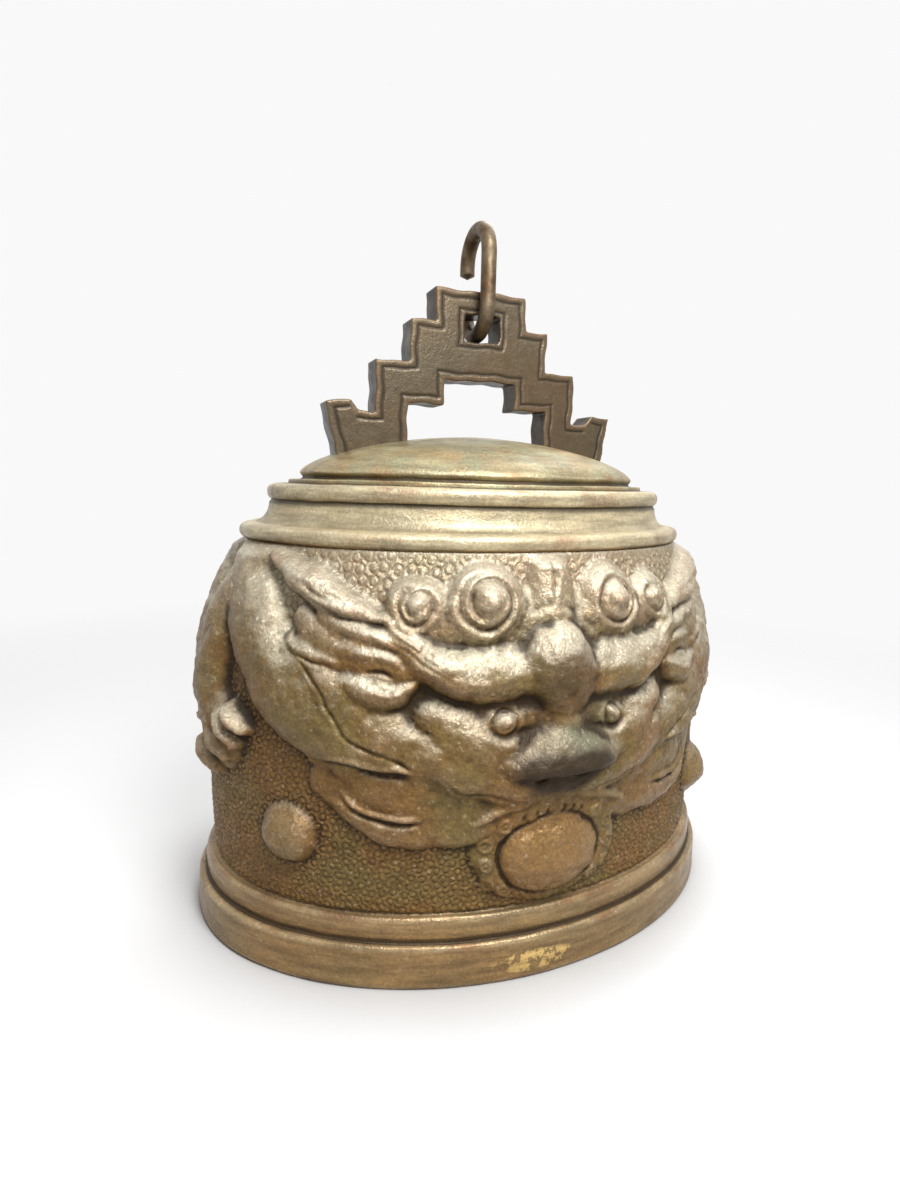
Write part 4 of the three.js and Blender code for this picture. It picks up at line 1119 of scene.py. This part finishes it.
def feed(tree, socket, value):
    """A number or colour on a socket, or a link to it."""
    if isinstance(value, (int, float, tuple)):
        socket.default_value = value
    else:
        tree.links.new(value, socket)


def add_node(tree, kind, inputs, **settings):
    """A node with its settings and what goes into it."""
    node = tree.nodes.new("ShaderNode" + kind)
    for key, value in settings.items():
        setattr(node, key, value)
    for key, value in inputs.items():
        feed(tree, node.inputs[key], value)
    return node


class Nodes:
    """A material's nodes, with short calls for the kinds used here."""

    def __init__(self, name, metallic):
        self.material = bpy.data.materials.new(name)
        self.material.use_nodes = True
        self.tree = self.material.node_tree
        self.shader = self.tree.nodes["Principled BSDF"]
        self.surface("Metallic", metallic)
        self.surface("Specular IOR Level", 0.3)
        self.place = self.node("TexCoord", {}).outputs["Object"]

    def node(self, kind, inputs, **settings):
        return add_node(self.tree, kind, inputs, **settings)

    def surface(self, key, value):
        """One of the surface's own values."""
        feed(self.tree, self.shader.inputs[key], value)

    def noise(self, scale, detail=4, rough=0.55, place=None):
        inputs = {"Scale": scale, "Detail": detail, "Roughness": rough, "Vector": place or self.place}
        return self.node("TexNoise", inputs).outputs["Fac"]

    def upright(self, stretch):
        """The place with its height stretched, which turns noise into level streaks."""
        inputs = {0: self.place, 1: (1, 1, stretch)}
        return self.node("VectorMath", inputs, operation="MULTIPLY").outputs["Vector"]

    def mark(self, name, share=1):
        node = self.node("Attribute", {}, attribute_name=name)
        return self.times(node.outputs["Fac"], share)

    def range(self, value, low, high, to_low=0.0, to_high=1.0):
        inputs = {"Value": value, "From Min": low, "From Max": high, "To Min": to_low, "To Max": to_high}
        return self.node("MapRange", inputs, interpolation_type="SMOOTHSTEP").outputs["Result"]

    def math(self, kind, a, b):
        return self.node("Math", {0: a, 1: b}, operation=kind).outputs["Value"]

    def times(self, a, b):
        return self.math("MULTIPLY", a, b)

    def mix(self, share, a, b, kind="MIX"):
        node = self.node("Mix", {}, data_type="RGBA", blend_type=kind)
        for socket, value in zip([s for s in node.inputs if s.enabled], (share, a, b)):
            feed(self.tree, socket, value)
        return [s for s in node.outputs if s.enabled][0]

    def scaled(self, colour, factor):
        return self.mix(1.0, colour, factor, "MULTIPLY")

    def bump(self, height, strength, distance):
        node = self.node("Bump", {"Strength": strength, "Distance": distance, "Height": height})
        self.surface("Normal", node.outputs["Normal"])


def bronze(name, brown, olive, dark, pale, rough=1.0, streaks=0.0):
    """Aged cast bronze: two tones of patina, a painted highlight with painted glints on upper sides, painted
    shade in recesses, rubbed edges and fine pits.
    """
    n = Nodes(name, BRONZE_SHINE)
    colour = n.mix(n.range(n.noise(45, 5), 0.38, 0.62), brown, olive)
    colour = n.scaled(colour, n.range(n.noise(260, 4, 0.65), 0.3, 0.7, 1 - 0.2 * rough, 1 + 0.16 * rough))
    # Painted highlight: the pale tone mixed in on upward-facing sides, broken up by noise
    painted_sheen = n.mark("pale", n.range(n.noise(110, 4, 0.6), 0.25, 0.7, 0.66, 1.0))
    colour = n.mix(painted_sheen, colour, pale)
    colour = n.mix(n.mark("wear", 0.3), colour, pale)
    copper = n.mark("wear", n.range(n.noise(90, 3), 0.46, 0.68))
    colour = n.mix(n.times(copper, 0.6), colour, COPPER)
    colour = n.mix(n.mark("polish", 0.6), colour, RUBBED)
    verdigris = n.mark("green", n.range(n.noise(120, 4), 0.35, 0.7))
    colour = n.mix(n.times(verdigris, 0.6), colour, VERDIGRIS)
    scraped = n.mark("scrape", n.range(n.noise(330, 5, 0.7), 0.42, 0.55))
    colour = n.mix(n.range(scraped, 0.3, 0.5), colour, SCRAPED)
    # Painted glints: white specks on the upper sides, weighted by the painted highlight
    glint_spots = n.range(n.noise(700, 2, 0.5), 0.64, 0.7)
    glint_share = n.range(n.mark("pale"), 0.1, 0.6, 0.2 * rough ** 2, 0.8 * rough ** 2)
    colour = n.mix(n.times(glint_spots, glint_share), colour, GLINT_WHITE)
    colour = n.scaled(colour, n.range(n.noise(1100, 3, 0.7), 0.34, 0.66, 1 - 0.2 * rough, 1 + 0.18 * rough))
    lines = n.range(n.noise(60, 4, 0.6, n.upright(9)), 0.32, 0.68, 1 - streaks, 1 + 0.6 * streaks)
    colour = n.scaled(colour, lines)
    # Painted shade: the dark tone mixed into hollows; the next mix darkens the bell's inside and, as painted
    # shade, the hanger's side faces
    colour = n.mix(n.range(n.mark("hollow_shade"), 0.05, 1.1, 0.0, 0.9), colour, dark)
    n.surface("Base Color", n.mix(n.mark("inside", 0.7), colour, dark))
    gloss = n.math("ADD", n.range(n.noise(180, 4), 0.3, 0.7, 0.28, 0.46), n.mark("hollow_shade", 0.15))
    n.surface("Roughness", n.math("SUBTRACT", gloss, n.mark("polish", 0.12)))
    grain = n.math("ADD", n.noise(1500, 3, 0.6), n.times(n.noise(420, 3), 0.8))
    n.bump(grain, 0.5 * rough, 0.0006)
    return n.material


def iron(name, colour, rust):
    """Dark forged rod: brown bloom, hammer marks and slight shine."""
    n = Nodes(name, IRON_SHINE)
    tone = n.mix(n.range(n.noise(140, 5, 0.6), 0.42, 0.66), colour, rust)
    n.surface("Base Color", n.scaled(tone, n.range(n.noise(520, 3), 0.3, 0.7, 0.75, 1.2)))
    n.surface("Roughness", n.range(n.noise(240, 3), 0.3, 0.7, 0.38, 0.6))
    n.bump(n.math("ADD", n.noise(900, 3), n.noise(220, 2)), 0.4, 0.0003)
    return n.material


def dress(piece, material, body, slot, *nodes):
    piece.data.materials.clear()
    piece.data.materials.append(material)
    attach(piece, body)
    if nodes:
        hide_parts(*nodes)


# Each bronze gets brown, olive, the dark of its painted shade and of the inside, and the pale tone of its
# painted highlight and rubbed wear
bell_bronze = bronze("bell_bronze", linear(152, 119, 72), linear(136, 119, 78), DARK, linear(202, 189, 156),
                     rough=0.7, streaks=0.3)
relief_bronze = bronze("relief_bronze", linear(132, 98, 54), linear(123, 103, 59), DARK, HIGHLIGHT_AND_WEAR_TONE)
hanger_bronze = bronze("hanger_bronze", linear(92, 76, 56), linear(86, 75, 57), linear(32, 25, 19),
                       linear(160, 140, 110), rough=0.45)
hook_iron = iron("hook_iron", linear(112, 98, 78), linear(92, 72, 52))
clapper_iron = iron("clapper_iron", linear(86, 78, 70), linear(92, 66, 46))

walls = bell_wall()
for side, covered in (
    ("front", ("dragon_front", "pearl_front", "pearl_frill_front")),
    ("right", ("boss_front_right", "boss_back_left")),
    ("back", ("dragon_back", "pearl_back", "pearl_frill_back")),
    ("left", ("boss_front_left", "boss_back_right")),
):
    dress(walls[side], relief_bronze, "bell", "relief_bronze", *covered)
dress(bell_shell(), bell_bronze, "bell", "bell_bronze", "bell_body")
dress(stepped_hanger(), hanger_bronze, "bell", "hanger_bronze", "stepped_hanger")
dress(hanging_hook(), hook_iron, "hook", "hook_iron", "hanging_hook")
dress(clapper_staple(), clapper_iron, "bell", "clapper_iron", "clapper_staple")
eye_piece, shank_piece, ball_piece = clapper()
dress(eye_piece, clapper_iron, "clapper", "clapper_iron")
dress(shank_piece, clapper_iron, "clapper", "clapper_iron", "clapper_rod")
dress(ball_piece, clapper_iron, "clapper", "clapper_iron", "clapper_ball")


# Studio

BACKDROP = 0.948
SKY = 0.23
FLOOR_GLOW = 0.5
CONTACT = 0.045
CONTACT_SHARE = (0.4, 0.95)
FLOOR_FADE = (0.22, 0.6)
FLOOR_REACH = 4.0
FLOOR_TONE = (0.62, 0.62, 0.62, 1)
WHITE = (1, 1, 1, 1)

# Lamps: place, target, size and power
KEY_LAMP = ((-0.01, -0.2, 0.31), (-0.01, 0, 0.09), 0.14, 1.05)
TOP_LAMP = ((0.25, 0.25, 0.7), (0, 0, 0.1), 0.5, 2.2)


def plain_rays(tree):
    """One for rays from the camera, off shiny surfaces and through clear ones."""
    rays = add_node(tree, "LightPath", {})
    share = rays.outputs["Is Camera Ray"]
    for name in ("Is Glossy Ray", "Is Transmission Ray"):
        higher = add_node(tree, "Math", {0: share, 1: rays.outputs[name]}, operation="MAXIMUM")
        share = higher.outputs["Value"]
    return share


def floor():
    """A wide pale floor that keeps the bell's shadow, darkens its glow near the bell as a painted contact
    shadow, and fades into the backdrop.
    """
    corners = [(x * FLOOR_REACH, y * FLOOR_REACH, 0) for x, y in ((-1, -1), (1, -1), (1, 1), (-1, 1))]
    data = bpy.data.meshes.new("floor")
    data.from_pydata(corners, [], [(0, 1, 2, 3)])
    ground = placed("floor", data)
    n = Nodes("floor_white", 0)
    seen = plain_rays(n.tree)
    # Painted contact shadow: the floor's glow dimmed by ambient occlusion near the bell
    shade = n.node("AmbientOcclusion", {"Distance": CONTACT})
    glow = n.times(n.range(shade.outputs["AO"], *CONTACT_SHARE), FLOOR_GLOW)
    for key, value in (("Base Color", FLOOR_TONE), ("Roughness", 0.9), ("Specular IOR Level", 0.1),
                       ("Emission Color", WHITE), ("Emission Strength", n.times(seen, glow))):
        n.surface(key, value)
    away = n.node("VectorMath", {0: n.place}, operation="LENGTH").outputs["Value"]
    far = n.node("Emission", {"Strength": n.times(seen, BACKDROP)}).outputs["Emission"]
    both = n.node("MixShader", {0: n.range(away, *FLOOR_FADE), 1: n.shader.outputs["BSDF"], 2: far})
    feed(n.tree, n.tree.nodes["Material Output"].inputs["Surface"], both.outputs["Shader"])
    data.materials.append(n.material)


def world():
    """White behind the bell, for the camera and for reflections; softer as a light."""
    scene = bpy.context.scene
    scene.world = bpy.data.worlds.new("studio")
    scene.world.use_nodes = True
    tree = scene.world.node_tree
    background = tree.nodes["Background"]
    strength = add_node(tree, "MapRange", {"Value": plain_rays(tree), "To Min": SKY, "To Max": BACKDROP})
    feed(tree, background.inputs["Color"], WHITE)
    feed(tree, background.inputs["Strength"], strength.outputs["Result"])


def lamp(name, place, target, size, power):
    data = bpy.data.lights.new(name, "AREA")
    data.shape = "DISK"
    data.size = size
    data.energy = power
    light = placed(name, data)
    light.location = place
    light.rotation_euler = (Vector(target) - Vector(place)).to_track_quat("-Z", "Y").to_euler()


def camera():
    data = bpy.data.cameras.new("camera")
    data.lens = CAMERA_LENS
    data.sensor_width = CAMERA_SENSOR
    data.shift_x = CAMERA_SHIFT
    data.clip_start = CAMERA_NEAR
    eye = placed("camera", data)
    eye.matrix_world = Matrix.Translation(CAMERA_PLACE * MM)
    for angle, axis in ((CAMERA_AZIMUTH, "Z"), (math.pi / 2 - CAMERA_PITCH, "X"), (CAMERA_ROLL, "Z")):
        eye.matrix_world = eye.matrix_world @ Matrix.Rotation(angle, 4, axis)
    bpy.context.scene.camera = eye


floor()
world()
lamp("key", *KEY_LAMP)
lamp("top", *TOP_LAMP)
camera()
bpy.context.scene.view_settings.view_transform = "Standard"
